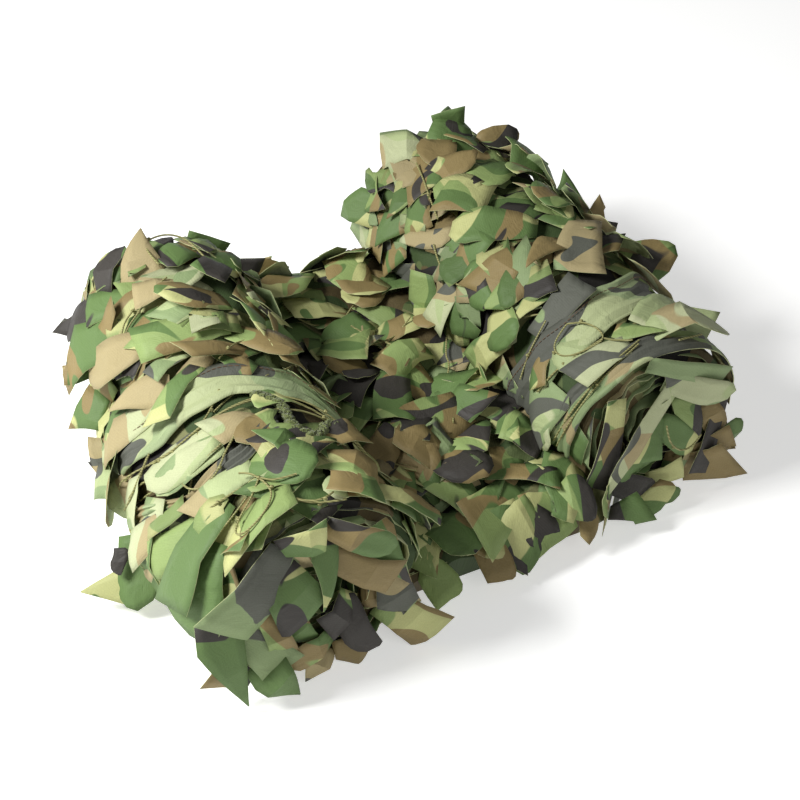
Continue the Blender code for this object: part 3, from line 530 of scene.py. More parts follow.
# ---------------------------------------------------------------------------------------
# Leaves. The slits turn the cloth into straps and lobes, some rounded and some with sharp
# corners, which lift, curl and fold back so that the paler back of the print shows. The
# largest ones stand about where the solids' leaves do; smaller ones fill in between them.
# ---------------------------------------------------------------------------------------
# on each roll: root and tip as (degrees from the top, mm along), width, rise of the tip
# in mm, form, the colour it leans to, and whether the back of the print is outward
SIDE_LEAVES = {
    "left": [
        ((-42, 331), (-18, 357), 22, 7, "lobe", "dark", 0),
        ((-50, 332), (-78, 346), 28, 5, "lobe", "all_dark", 0),
        ((-29, 303), (-56, 326), 30, 5, "square", "green", 0),
        ((-46, 280), (-98, 322), 38, 9, "blade", "green", 0),
        ((-17, 312), (-4, 358), 34, 9, "point", "all_brown", 1),
        ((27, 269), (-19, 266), 36, 6, "lobe", "spotbrown", 0),
        ((3, 266), (-39, 240), 34, 5, "square", "light", 0),
        ((-35, 247), (-79, 285), 38, 8, "lobe", "all_brown", 1),
        ((-49, 188), (-104, 228), 32, 9, "square", "tan", 1),
        ((-82, 251), (-106, 241), 30, 12, "lobe", "light", 0),
        ((-69, 262), (-106, 283), 30, 10, "square", "light", 0),
        ((14, 232), (-42, 243), 34, 5, "square", "light", 0),
        ((-19, 221), (-42, 206), 18, 3, "square", "dark", 1),
        ((25, 207), (-25, 196), 20, 4, "square", "all_brown", 0),
        ((-16, 193), (-52, 163), 24, 5, "square", "light", 0),
        ((-2, 109), (-30, 113), 27, 4, "square", "soft", 1),
        ((24, 133), (-2, 116), 24, 4, "hook", "brown", 0), ((-16, 76), (6, 31), 32, 8, "lobe", "spot", 0),
        ((6, 65), (-11, 93), 20, 9, "point", "light", 0), ((8, 56), (40, 26), 32, 8, "square", "light", 0),
        ((-25, 115), (-73, 131), 36, 4, "lobe", "soft", 1),
        ((-40, 58), (-98, 36), 40, 9, "square", "all_green", 0),
        ((-7, 21), (-53, 23), 40, 6, "square", "light", 0),
        ((-44, 28), (-42, -4), 30, 8, "point", "brown", 0),
        ((-78, 152), (-104, 124), 36, 3, "lobe", "soft", 1),
        ((-72, 114), (-106, 90), 36, 4, "lobe", "soft", 1),
        ((-84, 98), (-112, 72), 34, 6, "square", "green", 0),
        ((10, 265), (-21, 255), 28, 3, "square", "soft", 1),
        ((2, 291), (-28, 295), 28, 5, "square", "all_brown", 1),
        ((32, 349), (-6, 313), 26, 7, "lobe", "ground", 0),
        ((60, 340), (40, 283), 24, 4, "point", "brown", 0),
        ((39, 334), (14, 287), 27, 8, "square", "green", 0),
        ((36, 271), (24, 199), 26, 7, "point", "green", 0),
        ((25, 79), (51, 89), 26, 5, "square", "spot", 0),
        ((-37, 192), (-76, 226), 28, 7, "point", "tan", 1),
        ((17, 14), (74, 2), 24, 9, "square", "ground", 0), ((-1, 48), (-25, 37), 26, 6, "hook", "light", 0),
        ((37, 240), (38, 168), 26, 6, "square", "brown", 0),
        ((-94, 262), (-108, 210), 36, 14, "square", "green", 0),
        ((-62, 198), (-100, 246), 28, 10, "square", "soft", 0),
        ((26, 44), (16, -2), 34, 8, "square", "green", 0), ((60, 60), (86, 20), 36, 10, "lobe", "green", 0),
        ((66, 318), (80, 270), 36, 9, "square", "green", 0),
        ((16, 230), (40, 176), 30, 6, "lobe", "brown", 0),
        ((62, 200), (78, 150), 34, 8, "lobe", "green", 0),
        ((-90, 214), (-104, 162), 36, 14, "lobe", "light", 0),
        ((-56, 38), (-106, 14), 46, 9, "lobe", "all_green", 0),
        ((-26, 106), (-72, 118), 26, 4, "lobe", "soft", 1),
        ((-18, 68), (-60, 66), 28, 5, "square", "light", 1),
        ((-60, 82), (-98, 106), 26, 5, "square", "soft", 1),
        ((-58, 62), (-94, 82), 28, 6, "square", "light", 0),
    ],
    "right": [
        ((10, 340), (30, 391), 40, 14, "point", "green", 0),
        ((-8, 348), (-33, 372), 34, 7, "square", "brown", 1),
        ((-64, 337), (-86, 373), 34, 12, "point", "green", 0),
        ((-64, 330), (-92, 318), 30, 6, "square", "brown", 0),
        ((-27, 303), (13, 300), 32, 8, "hook", "brown", 0),
        ((-34, 300), (-56, 272), 30, 8, "square", "brown", 0),
        ((-38, 238), (-69, 288), 20, 10, "hook", "ground", 1),
        ((40, 300), (-34, 242), 40, 9, "square", "ground", 0),
        ((6, 192), (-40, 236), 32, 8, "lobe", "green", 0),
        ((-17, 172), (-55, 168), 38, 8, "square", "brown", 0),
        ((19, 166), (-30, 137), 28, 7, "point", "brown", 0),
        ((37, 185), (0, 118), 34, 8, "square", "brown", 1),
        ((48, 231), (12, 211), 34, 9, "lobe", "green", 0),
        ((52, 150), (64, 98), 36, 9, "blade", "brown", 0),
        ((-74, 248), (-108, 240), 30, 6, "lobe", "ground", 0),
        ((-58, 199), (-93, 203), 26, 7, "square", "soft", 1),
        ((-74, 297), (-100, 296), 34, 6, "point", "brown", 0),
        ((-55, 154), (-62, 107), 34, 7, "lobe", "soft", 0),
        ((-17, 128), (-54, 116), 26, 6, "point", "ground", 0),
        ((-50, 96), (-4, 102), 28, 3, "square", "all_dark", 1),
        ((-63, 124), (-100, 150), 26, 6, "square", "brown", 0),
        ((30, 306), (-5, 264), 34, 10, "lobe", "green", 0),
        ((-30, 62), (-53, 46), 30, 4, "lobe", "soft", 1),
        ((-12, 27), (-52, 30), 28, 4, "square", "soft", 1),
        ((-62, 52), (-112, 46), 46, 6, "point", "grey", 1),
        ((-50, 79), (-72, 64), 18, 3, "square", "brown", 0),
        ((2, 26), (52, 12), 36, 17, "hook", "ground", 1), ((-13, 47), (8, 16), 18, 6, "point", "ground", 0),
        ((58, 340), (50, 300), 34, 14, "lobe", "brown", 0),
        ((60, 300), (48, 262), 34, 14, "point", "green", 0),
        ((50, 285), (15, 253), 26, 8, "hook", "ground", 0),
        ((62, 250), (42, 214), 32, 13, "square", "green", 0),
        ((62, 212), (46, 172), 32, 12, "point", "brown", 0),
        ((60, 176), (46, 136), 32, 12, "square", "soft", 0),
        ((-55, 305), (-84, 312), 28, 7, "point", "green", 0),
        ((-50, 200), (-51, 150), 28, 7, "hook", "green", 0),
        ((-58, 360), (-57, 316), 28, 8, "point", "green", 0),
        ((46, 360), (11, 326), 34, 9, "square", "green", 0),
        ((-39, 142), (-60, 156), 26, 6, "point", "green", 0),
        ((-113, 166), (-96, 119), 26, 6, "lobe", "green", 0), ((1, 41), (49, 68), 24, 4, "lobe", "soft", 1),
        ((44, 287), (56, 330), 34, 14, "lobe", "green", 0),
        ((70, 130), (92, 90), 36, 10, "lobe", "green", 0),
        ((-84, 62), (-104, 40), 30, 6, "lobe", "green", 1),
        ((-6, 240), (-24, 286), 32, 8, "lobe", "ground", 0),
    ],
}
# at each end of each roll: root and tip as (mm sideways, mm up) from the middle, then as above
END_LEAVES = {
    ("left", "near"): [
        ((-28, 52), (-82, 2), 44, 9, "square", "spot", 1),
        ((-84, 8), (-68, -71), 34, 12, "point", "green", 0),
        ((-38, 36), (-19, -5), 42, 12, "square", "green", 0),
        ((-1, 50), (-8, -1), 20, 14, "point", "green", 0),
        ((0, 36), (50, 6), 26, 12, "square", "all_brown", 0),
        ((1, 63), (46, 38), 22, 12, "lobe", "green", 0), ((50, 6), (58, -42), 28, 8, "blade", "mixed", 1),
        ((42, -28), (82, -68), 34, 9, "square", "tan", 0),
        ((-72, -1), (-39, -47), 30, 12, "square", "green", 1),
        ((-50, 8), (-36, -44), 20, 14, "square", "light", 0),
        ((-56, -40), (-30, -72), 32, 24, "point", "green", 0),
        ((5, -42), (-34, -47), 22, 10, "lobe", "ground", 0),
        ((-5, -52), (-22, -72), 26, 9, "point", "ground", 1),
        ((6, -14), (36, -50), 30, 11, "hook", "all_dark", 0),
        ((18, -6), (-4, -30), 24, 10, "square", "all_dark", 0),
        ((38, 49), (62, -7), 24, 9, "point", "green", 0), ((-33, -8), (-9, -34), 20, 7, "hook", "green", 0),
        ((-33, 54), (-1, 64), 26, 9, "square", "green", 0),
        ((5, -62), (32, -58), 26, 7, "lobe", "brown", 0),
        ((-56, -14), (-82, -58), 34, 2, "square", "green", 0),
    ],
    ("left", "far"): [
        ((30, 20), (56, 50), 36, 8, "square", "green", 0), ((-30, 0), (-54, -30), 34, 4, "lobe", "soft", 0),
        ((-8, 30), (-34, 44), 26, 3, "point", "brown", 0),
    ],
    ("right", "near"): [
        ((-17, 68), (54, 34), 18, 3, "square", "all_green", 1),
        ((0, 46), (61, 14), 22, 6, "lobe", "soft", 1),
        ((60, 10), (32, -52), 18, 9, "square", "all_dark", 0),
        ((-44, 46), (-60, -34), 24, 3, "square", "strap", 0),
        ((11, 46), (-54, -38), 20, 12, "hook", "light", 1),
        ((-4, 14), (-20, -18), 26, 8, "square", "soft", 0),
        ((-4, -25), (-42, -24), 22, 6, "lobe", "all_green", 0),
        ((-2, 6), (30, -24), 26, 5, "lobe", "all_green", 0),
        ((-46, -36), (-6, -60), 24, 6, "lobe", "all_dark", 0),
        ((16, 28), (31, -14), 22, 9, "point", "pale", 0),
        ((44, 8), (52, -22), 20, 4, "lobe", "all_brown", 0),
        ((26, -54), (64, -46), 42, 12, "square", "all_brown", 0),
        ((20, -46), (66, -28), 26, 7, "square", "all_brown", 0),
        ((66, -46), (66, -16), 22, 6, "lobe", "all_green", 0),
        ((-8, -50), (18, -40), 20, 7, "square", "tan", 0),
        ((-8, -58), (12, -70), 20, 10, "lobe", "all_green", 0),
    ],
    ("right", "far"): [
        ((-18, 8), (-36, 28), 30, 3, "square", "green", 0),
        ((30, 10), (60, -20), 36, 8, "point", "soft", 0),
    ],
}
# on the strip between the rolls: root and tip as (mm in x, mm in y), then as above
WEB_LEAVES = [
    ((57, 206), (39, 180), 32, 10, "square", "ground", 0),
    ((34, 182), (42, 125), 36, 9, "lobe", "ground", 0),
    ((17, 118), (-24, 58), 40, 8, "square", "ground", 0), ((-8, 61), (-19, 28), 26, 7, "lobe", "dark", 0),
    ((18, 42), (-17, -26), 32, 10, "square", "spot", 0), ((13, 60), (46, -12), 36, 7, "hook", "brown", 0),
    ((42, -30), (-28, -44), 42, 9, "lobe", "brown", 0),
    ((-4, -60), (9, -113), 36, 10, "lobe", "spotbrown", 0),
    ((2, -136), (-14, -86), 30, 7, "square", "light", 0),
    ((41, -118), (-15, -152), 38, 8, "square", "light", 0),
    ((19, -98), (70, -132), 24, 7, "square", "green", 0),
    ((-42, -118), (-16, -164), 40, 6, "lobe", "green", 0),
    ((70, -148), (32, -152), 34, 7, "square", "light", 0),
    ((42, -146), (7, -163), 28, 8, "lobe", "soft", 0), ((-21, 8), (-57, -22), 28, 7, "point", "brown", 0),
    ((-25, -58), (-54, -108), 22, 9, "point", "ground", 0),
    ((39, -14), (52, -46), 26, 7, "square", "green", 0), ((78, -94), (58, -66), 32, 5, "square", "dark", 0),
    ((62, -44), (56, -95), 28, 8, "point", "green", 0),
    ((60, -146), (88, -156), 26, 9, "lobe", "ground", 0),
    ((33, -144), (44, -166), 26, 7, "lobe", "green", 0),
    ((-47, -54), (-82, -74), 28, 7, "square", "green", 0),
    ((-25, -80), (-54, -86), 24, 7, "point", "soft", 0),
    ((-10, 204), (-38, 196), 34, 12, "square", "green", 0),
    ((7, 203), (-42, 145), 36, 9, "lobe", "ground", 0), ((39, 202), (28, 146), 34, 10, "lobe", "brown", 0),
    ((58, 172), (19, 123), 34, 8, "lobe", "ground", 0),
    ((19, 128), (-34, 141), 32, 8, "square", "ground", 0), ((21, 106), (-22, 93), 36, 8, "lobe", "soft", 0),
    ((-14, 88), (-22, 38), 32, 8, "lobe", "brown", 0), ((60, 92), (16, 74), 30, 7, "hook", "brown", 0),
    ((-4, 46), (-42, 14), 30, 5, "square", "dark", 0), ((-22, 118), (-58, 100), 30, 7, "point", "green", 0),
    ((50, 50), (2, 31), 26, 8, "square", "ground", 0), ((-40, 38), (-76, 6), 30, 7, "hook", "brown", 0),
    ((-42, -66), (-48, -122), 30, 9, "point", "ground", 0),
    ((-47, -142), (-52, -96), 30, 8, "point", "green", 0),
    ((-70, -100), (-60, -150), 34, 7, "lobe", "soft", 0), ((80, 20), (60, -30), 34, 6, "lobe", "green", 0),
    ((84, 110), (64, 60), 34, 6, "lobe", "brown", 0), ((4, 198), (34, 212), 34, 14, "square", "green", 0),
    ((70, 196), (92, 210), 34, 12, "lobe", "ground", 0),
]
# leaves that stand off the rolls on their own: root and tip in mm, the way they face, then as above
WING_LEAVES = [
    ((-247, -68, 24), (-288, -42, 13), (-0.3, -0.6, 0.7), 30, 3, "point", "all_ground", 0),
    ((-243, -40, 52), (-251, -76, 12), (-0.5, -0.6, 0.6), 32, 3, "lobe", "all_green", 0),
    ((-258, -47, 50), (-261, -57, 33), (-0.5, -0.6, 0.6), 14, 2, "hook", "all_dark", 0),
    ((-198, 157, 92), (-211, 184, 88), (-0.3, -0.6, 0.7), 26, 3, "blade", "all_dark", 0),
    ((-223, -10, 78), (-246, -12, 52), (-0.5, -0.6, 0.6), 32, 2, "lobe", "soft", 1),
    ((-210, 130, 85), (-228, 144, 75), (-0.3, -0.6, 0.7), 30, 3, "blade", "green", 0),
    ((-222, 73, 75), (-233, 97, 68), (-0.3, -0.6, 0.7), 34, 3, "square", "ground", 0),
    ((-231, 41, 65), (-245, 48, 55), (-0.3, -0.6, 0.7), 34, 3, "blade", "brown", 1),
    ((-239, 7, 60), (-246, 29, 50), (-0.3, -0.6, 0.7), 26, 3, "square", "soft", 1),
    ((222, 34, 104), (260, 8, 102), (-0.2, -0.6, 0.8), 36, 2, "lobe", "dark", 0),
    ((216, -38, 98), (246, -72, 94), (-0.2, -0.6, 0.8), 28, 2, "square", "all_ground", 1),
    ((214, 90, 98), (236, 62, 102), (-0.2, -0.6, 0.8), 26, 2, "blade", "brown", 0),
    ((174, 231, 122), (167, 236, 155), (-0.4, -0.9, 0.2), 28, 2, "square", "green", 0),
    ((192, 197, 118), (209, 215, 136), (-0.4, -0.9, 0.2), 34, 2, "lobe", "brown", 0),
    ((213, 115, 112), (230, 125, 122), (-0.4, -0.9, 0.2), 26, 2, "square", "green", 0),
    ((221, 78, 110), (238, 87, 118), (-0.4, -0.9, 0.2), 22, 2, "blade", "mixed", 0),
    ((-88, 196, 52), (-84, 200, 90), (-0.4, -0.9, 0.2), 40, 2, "square", "green", 0),
    ((-56, 202, 50), (-46, 206, 84), (-0.4, -0.9, 0.2), 34, 2, "square", "mixed", 0),
    ((-24, 204, 50), (-18, 208, 76), (-0.4, -0.9, 0.2), 30, 2, "blade", "green", 0),
    ((115, -154, 30), (121, -164, 12), (-0.3, -0.8, 0.5), 30, 2, "blade", "green", 0),
    ((146, -147, 24), (155, -154, 10), (-0.3, -0.8, 0.5), 28, 2, "lobe", "ground", 0),
]
# share of the full width on the left and the right of a leaf's middle, root to tip
FORMS = {
    "lobe": ((0.66, 0.75, 0.84, 0.93, 1.0, 1.0, 1.0, 0.86, 0.4),
             (0.7, 0.76, 0.82, 0.88, 0.94, 1.0, 0.96, 0.78, 0.34)),
    "point": ((0.8, 1.0, 0.87, 0.74, 0.6, 0.46, 0.32, 0.17, 0.02),
              (0.72, 0.86, 1.0, 0.84, 0.68, 0.51, 0.35, 0.18, 0.02)),
    "square": ((0.7, 0.74, 0.78, 0.82, 0.86, 0.9, 0.94, 0.97, 1.0),
               (0.6, 0.65, 0.7, 0.75, 0.8, 0.85, 0.9, 0.95, 1.0)),
    "blade": ((0.8, 0.84, 0.88, 0.92, 0.96, 1.0, 1.0, 1.0, 1.0),
              (0.6, 0.7, 0.8, 0.9, 1.0, 0.66, 0.32, -0.02, -0.36)),
    "notch": ((0.9, 1.0, 0.7, 0.56, 0.84, 1.0, 0.86, 0.56, 0.1),
              (0.56, 0.66, 0.9, 1.0, 0.78, 0.46, 0.5, 0.8, 0.56)),
    "neck": ((1.0, 0.8, 0.56, 0.42, 0.46, 0.66, 0.92, 1.0, 0.6),
             (1.0, 0.86, 0.66, 0.5, 0.4, 0.5, 0.76, 0.96, 0.7)),
    "hook": ((0.6, 1.0, 0.96, 0.84, 0.68, 0.5, 0.34, 0.2, 0.05),
             (0.56, 0.58, 0.66, 0.8, 0.96, 1.0, 0.96, 0.76, 0.2)),
}
LEAF_STEPS = 8
LEAF_LANES = 4
LIFT = 1.5  # mm added to the rise of every tip, as on the solids
TOUCH = 0.42  # share of a leaf's length from its root to where it touches the cloth
RIPPLE = 0.5  # mm
RIPPLE_SPACING = 19.0  # mm
BLOB_REACH = 0.62  # radius of a spotted leaf's dark blob, as a share of its width
FLAP_STEPS = 3  # steps at the tip that fold back where a leaf is folded
LEAF_AREA = 0.62  # share of a leaf's length times width that its outline fills
FLATNESS = 0.62  # how far a leaf keeps flat instead of following the cloth under it
PROBE = 4.0  # mm to each side, to find the slope of the cloth under a leaf


def add_leaf(bm, place, root, tip, width, rises, form, shape, turned, cloth, draw):
    """One leaf from root to tip on a map in mm, where place(p, q, rise) is its point in space.

    shape is how far its middle line bows sideways, how far its sides rise into a V, how far
    its tip twists, whether the tip folds back over the rest, how slanted its crease and tip
    are, at which step the crease is, and how far it falls again from there. cloth is its tone
    and lean.
    """
    bend, fold, twist, flap, slant, knee, drop = shape
    tone, lean = cloth
    reach = math.dist(root, tip)
    ahead = (Vector(tip) - Vector(root)).normalized()
    across = Vector((-ahead.y, ahead.x))
    left, right = FORMS[form]
    made = bmesh.ops.create_grid(bm, x_segments=LEAF_STEPS, y_segments=LEAF_LANES, size=1.0)
    where = Vector((draw.uniform(0.0, 9.0), draw.uniform(0.0, 9.0)))
    turn = draw.uniform(0.0, 2.0 * math.pi)
    ripple = draw.uniform(0.0, 50.0)
    blob = (reach * draw.uniform(0.35, 0.65), width * draw.uniform(-0.20, 0.20))
    # the flat plane of the leaf touches the cloth a little way from its root
    touch = Vector(root) + ahead * reach * TOUCH
    base = place(touch.x, touch.y, 0.0)
    slope_p = (place(touch.x + PROBE, touch.y, 0.0) - place(touch.x - PROBE, touch.y, 0.0)) / (2.0 * PROBE)
    slope_q = (place(touch.x, touch.y + PROBE, 0.0) - place(touch.x, touch.y - PROBE, 0.0)) / (2.0 * PROBE)
    lift = (place(touch.x, touch.y, 1.0) - base).normalized() * MM
    uv_of = {}
    blob_of = {}
    for vert in made["verts"]:
        step = round((vert.co.x + 1.0) / 2.0 * LEAF_STEPS)
        lane = vert.co.y
        share = step / LEAF_STEPS
        half = width / 2.0 * (left if lane > 0.0 else right)[step]
        beside = lane * half
        along = share * (reach + slant * beside)
        peak = min(step / knee, 1.0 - drop * (step - knee) / (LEAF_STEPS - knee))
        rise = blend(rises[0], rises[1] + LIFT, peak)
        rise += abs(beside) * fold * smooth(share, 0.0, 0.35) + lane * half * twist * share
        rise += RIPPLE * noise.noise(Vector((along / RIPPLE_SPACING, beside / RIPPLE_SPACING, ripple)))
        if lean.startswith("spot"):
            away = math.hypot(along - blob[0], beside - blob[1])
            blob_of[vert] = max(1.0 - away / (width * BLOB_REACH), 0.0)
        if flap and step > LEAF_STEPS - FLAP_STEPS:
            back = (step - (LEAF_STEPS - FLAP_STEPS)) / LEAF_STEPS * reach
            along = (LEAF_STEPS - FLAP_STEPS) / LEAF_STEPS * reach - back * 0.85
            rise += 1.2 + back * 0.10
        spot = Vector(root) + ahead * along + across * (beside + bend * reach * math.sin(math.pi * share))
        flat = base + slope_p * (spot.x - touch.x) + slope_q * (spot.y - touch.y) + lift * rise
        vert.co = place(spot.x, spot.y, rise).lerp(flat, FLATNESS)
        vert.co.z = max(vert.co.z, FLOOR_GAP)
        u, v = share * reach * MM, beside * MM
        uv_of[vert] = (where.x + u * math.cos(turn) - v * math.sin(turn),
                       where.y + u * math.sin(turn) + v * math.cos(turn))
    lay_cloth(bm, made["verts"], uv_of, tone, lean, blob_of)
    if turned:
        bmesh.ops.reverse_faces(bm, faces=list({f for v in made["verts"] for f in v.link_faces}))
    return reach * width * LEAF_AREA * MM * MM


WIDEN = 1.12  # the listed widths are those that show, a little foreshortened
ROOT_SUNK = -0.5  # mm
KNEES = (3, 6)  # first and last step at which a leaf may be creased


def placed_leaf(bm, place, root, tip, width, tip_rise, form, lean, turned, draw, painted_light=1.0):
    """One of the larger leaves, creased a little down its middle."""
    shape = (draw.uniform(-0.07, 0.07), draw.choice((-0.12, -0.05, 0.08)), draw.uniform(-0.10, 0.10), False,
             draw.uniform(-0.45, 0.45), draw.randint(*KNEES), draw.uniform(-0.40, 0.35))
    # the last factor of the tone lightens the left roll's leaves as painted light
    return add_leaf(bm, place, root, tip, width * WIDEN, (ROOT_SUNK, tip_rise), form, shape, turned,
                    (draw.uniform(0.94, 1.06) * painted_light, lean), draw)


FILLER_REACH = (40.0, 62.0)  # mm
FILLER_WIDTH = (28.0, 44.0)  # mm
FILLER_MIDDLE = 27.0  # mm from a filler leaf's root to its middle
FILLER_FORMS = ("lobe", "point", "square", "square", "blade", "blade", "neck", "hook", "notch")
CLEAR_ROUND = 22.0  # mm from the middle of a placed leaf to that of one in the top layer


def filler_leaf(bm, place, root, heading, layer, leans, draw, painted_light=1.0):
    """A leaf between the placed ones; layer 0 lies lowest and its tone is 0.14 darker, as painted shade under
    the top layer.
    """
    reach = draw.uniform(*FILLER_REACH)
    tip = (root[0] + reach * math.cos(heading), root[1] + reach * math.sin(heading))
    rises = (-3.0 + layer * 2.5, -0.5 + layer * 2.6 + draw.uniform(0.0, 2.4))
    form = draw.choice(FILLER_FORMS)
    shape = (draw.uniform(-0.14, 0.14), draw.choice((-0.14, -0.06, 0.0, 0.06, 0.16)),
             draw.uniform(-0.16, 0.16), draw.random() < 0.20,
             draw.uniform(-0.70, 0.70), draw.randint(*KNEES), draw.uniform(-0.30, 1.00))
    # the last factor of the tone lightens the left roll's leaves as painted light
    return add_leaf(bm, place, root, tip, draw.uniform(*FILLER_WIDTH), rises, form, shape,
                    draw.random() < 0.25,
                    ((draw.uniform(0.82, 1.06) - 0.14 * (1 - layer)) * painted_light, draw.choice(leans)), draw)


def clear_of(spots, root, heading):
    """Whether a filler leaf from this root would leave the placed leaves to show."""
    x = root[0] + FILLER_MIDDLE * math.cos(heading)
    y = root[1] + FILLER_MIDDLE * math.sin(heading)
    return all(math.hypot(x - a, y - b) > CLEAR_ROUND for a, b in spots)


def middle_of(leaves):
    """The middle of each placed leaf on its map."""
    return [((root[0] + tip[0]) / 2.0, (root[1] + tip[1]) / 2.0) for root, tip, *rest in leaves]


def side_place(side_name):
    radius_mm = ROLLS[side_name]["radius_mm"]

    def place(p, q, rise):
        return roll_point(side_name, math.degrees(p / radius_mm), q * MM, rise * MM)

    return place


def end_place(side_name, end):
    roll = ROLLS[side_name]
    out = -roll["axis"] if end == "near" else roll["axis"]

    def place(p, q, rise):
        return roll[end] + roll["side"] * p * MM + roll["up"] * q * MM + out * rise * MM

    return place


def web_place(p, q, rise):
    return Vector((p * MM, q * MM, web_height(p * MM, q * MM) + rise * MM)) - ORIGIN


def wing_place(root, tip, facing):
    """The plane of a leaf that stands off its roll, and the leaf's length in mm."""
    way = Vector(tip) - Vector(root)
    ahead = way.normalized()
    across = Vector(facing).cross(ahead).normalized()
    out = ahead.cross(across)

    def place(p, q, rise):
        return (Vector(root) + ahead * p + across * q + out * rise) * MM - ORIGIN

    return place, way.length


# the left roll shows more of the pale colours than the right one and the strip
FILL_LEANS = {
    "left": ("mixed", "light", "light", "light", "soft", "soft", "ground", "green", "tan"),
    "right": ("mixed", "ground", "ground", "green", "green", "soft", "brown", "brown", "dark"),
    "strip": ("mixed", "mixed", "ground", "green", "green", "soft", "brown", "brown", "dark", "dark"),
}
ROLL_PAINTED_LIGHT = {"left": 1.09, "right": 1.0}  # painted light: the left roll's cloth is made lighter, for the stronger light from the upper left that falls on it
JOINED = {"left": (96.0, 146.0), "right": (-146.0, -96.0)}  # where the strip meets a roll, in degrees
ROWS_FILL = 11
LEAF_LAYERS = 2
END_ZONE = 26.0  # mm at each end of a roll, from where the leaves point inwards
OVERHANG = 8.0  # mm that a leaf may reach past the end
FILLER_MEAN = 50.0  # mm
ROOT_INSET = 2.0  # mm
UNDERSIDE = 26.0  # degrees to each side of the lowest line that have no leaves
BELTED = 0.35  # share of a band's press above which no leaf starts

for side_name, roll in ROLLS.items():
    draw = random.Random(40 + int(roll["seed"]))
    place = side_place(side_name)
    radius = roll["radius_mm"]
    length = roll["length"] / MM
    around = int(2.0 * math.pi * radius / (length / ROWS_FILL))
    placed = [((math.radians(root[0]) * radius, root[1]), (math.radians(tip[0]) * radius, tip[1]), *rest)
              for root, tip, *rest in SIDE_LEAVES[side_name]]
    spots = middle_of(placed)
    bm = bmesh.new()
    area = 0.0
    for layer in range(LEAF_LAYERS):
        for row in range(ROWS_FILL + 1):
            for column in range(around):
                place_round = column + 0.5 * (row % 2) + 0.5 * layer + draw.uniform(-0.3, 0.3)
                angle = place_round * 360.0 / around - 180.0
                angle = (angle + 180.0) % 360.0 - 180.0
                along = (row + 0.5 * layer + draw.uniform(-0.3, 0.3)) * length / ROWS_FILL
                heading = draw.uniform(0.0, 2.0 * math.pi)
                if along < END_ZONE:
                    heading = draw.uniform(-0.3, 0.3) * math.pi + math.pi / 2.0
                if along > length - END_ZONE:
                    heading = draw.uniform(-0.3, 0.3) * math.pi - math.pi / 2.0
                if not -OVERHANG < along + FILLER_MEAN * math.sin(heading) < length + OVERHANG:
                    heading = -heading
                root = (math.radians(angle) * radius, min(max(along, ROOT_INSET), length - ROOT_INSET))
                low, high = JOINED[side_name]
                if abs(abs(angle) - 180.0) < UNDERSIDE or low < angle < high:
                    continue
                if belt_share(side_name, angle, along) > BELTED:
                    continue
                if layer == 1 and not clear_of(spots, root, heading):
                    continue
                area += filler_leaf(bm, place, root, heading, layer, FILL_LEANS[side_name], draw,
                                    ROLL_PAINTED_LIGHT[side_name])
    for row in placed:
        area += placed_leaf(bm, place, *row, draw, ROLL_PAINTED_LIGHT[side_name])
    finish_sheet(bm, "leaves_" + side_name, GARNISH, NET, CLOTH_THICK)

END_FILLERS = 15  # small leaves round each end
END_SUNK = (-5.0, 2.0)  # mm that their roots and tips stand out
END_LEANS = ("mixed", "green", "brown", "ground", "soft")

bm = bmesh.new()
draw = random.Random(71)
area = 0.0
for side_name, roll in ROLLS.items():
    for end in ("near", "far"):
        place = end_place(side_name, end)
        radius = roll[end + "_radius"] / MM
        for count in range(END_FILLERS):
            angle = math.radians((count + draw.uniform(-0.4, 0.4)) * (360.0 / END_FILLERS))
            start = radius * draw.uniform(0.45, 0.80)
            root = (math.sin(angle) * start, math.cos(angle) * start)
            heading = math.atan2(root[1], root[0]) + draw.uniform(-1.5, 1.5)
            reach = draw.uniform(26.0, 40.0)
            tip = (root[0] + reach * math.cos(heading), root[1] + reach * math.sin(heading))
            if tip[1] < -radius * 0.92 or math.hypot(*tip) > radius * 0.86:
                continue
            shape = (draw.uniform(-0.2, 0.2), draw.uniform(-0.2, 0.2), draw.uniform(-0.3, 0.3),
                     draw.random() < 0.3,
                     draw.uniform(-0.7, 0.7), draw.randint(*KNEES), draw.uniform(-0.3, 0.8))
            # painted light: the small end leaves get a tone of 0.95 to 1.10, lighter than the fillers on the
            # sides, as the ends lie in shade
            area += add_leaf(bm, place, root, tip, draw.uniform(24.0, 36.0), END_SUNK,
                             draw.choice(("lobe", "point", "square", "hook")), shape, draw.random() < 0.35,
                             (draw.uniform(0.95, 1.10), draw.choice(END_LEANS)), draw)
for (side_name, end), rows in END_LEAVES.items():
    for row in rows:
        area += placed_leaf(bm, end_place(side_name, end), *row, draw)
for root, tip, facing, *row in WING_LEAVES:
    place, reach = wing_place(root, tip, facing)
    area += placed_leaf(bm, place, (0.0, 0.0), (reach, 0.0), *row, draw)
finish_sheet(bm, "leaves_ends", GARNISH, NET, CLOTH_THICK)

# the part of the strip that filler leaves start on, in mm
WEB_FILL = 34.0  # between filler leaves
WEB_LEFT, WEB_RIGHT = -92.0, 100.0
WEB_NEAR, WEB_FAR = -156.0, 196.0
WEB_ALONG, WEB_ACROSS = 372.0, 196.0  # length and width that the rows and columns cover
NEAR_FRINGE, FAR_FRINGE = -130.0, 170.0  # past these the leaves hang over the open edges
FRINGE_REACH = 32.0


def edge_place(start, stop):
    """The upright edge of the strip from one corner to the next, with the net on its left."""
    ahead = (Vector(stop) - Vector(start)).normalized()
    out = Vector((ahead.y, -ahead.x))

    def place(p, q, rise):
        spot = Vector(start) + ahead * p + out * rise
        return Vector((spot.x * MM, spot.y * MM, q * MM)) - ORIGIN

    return place


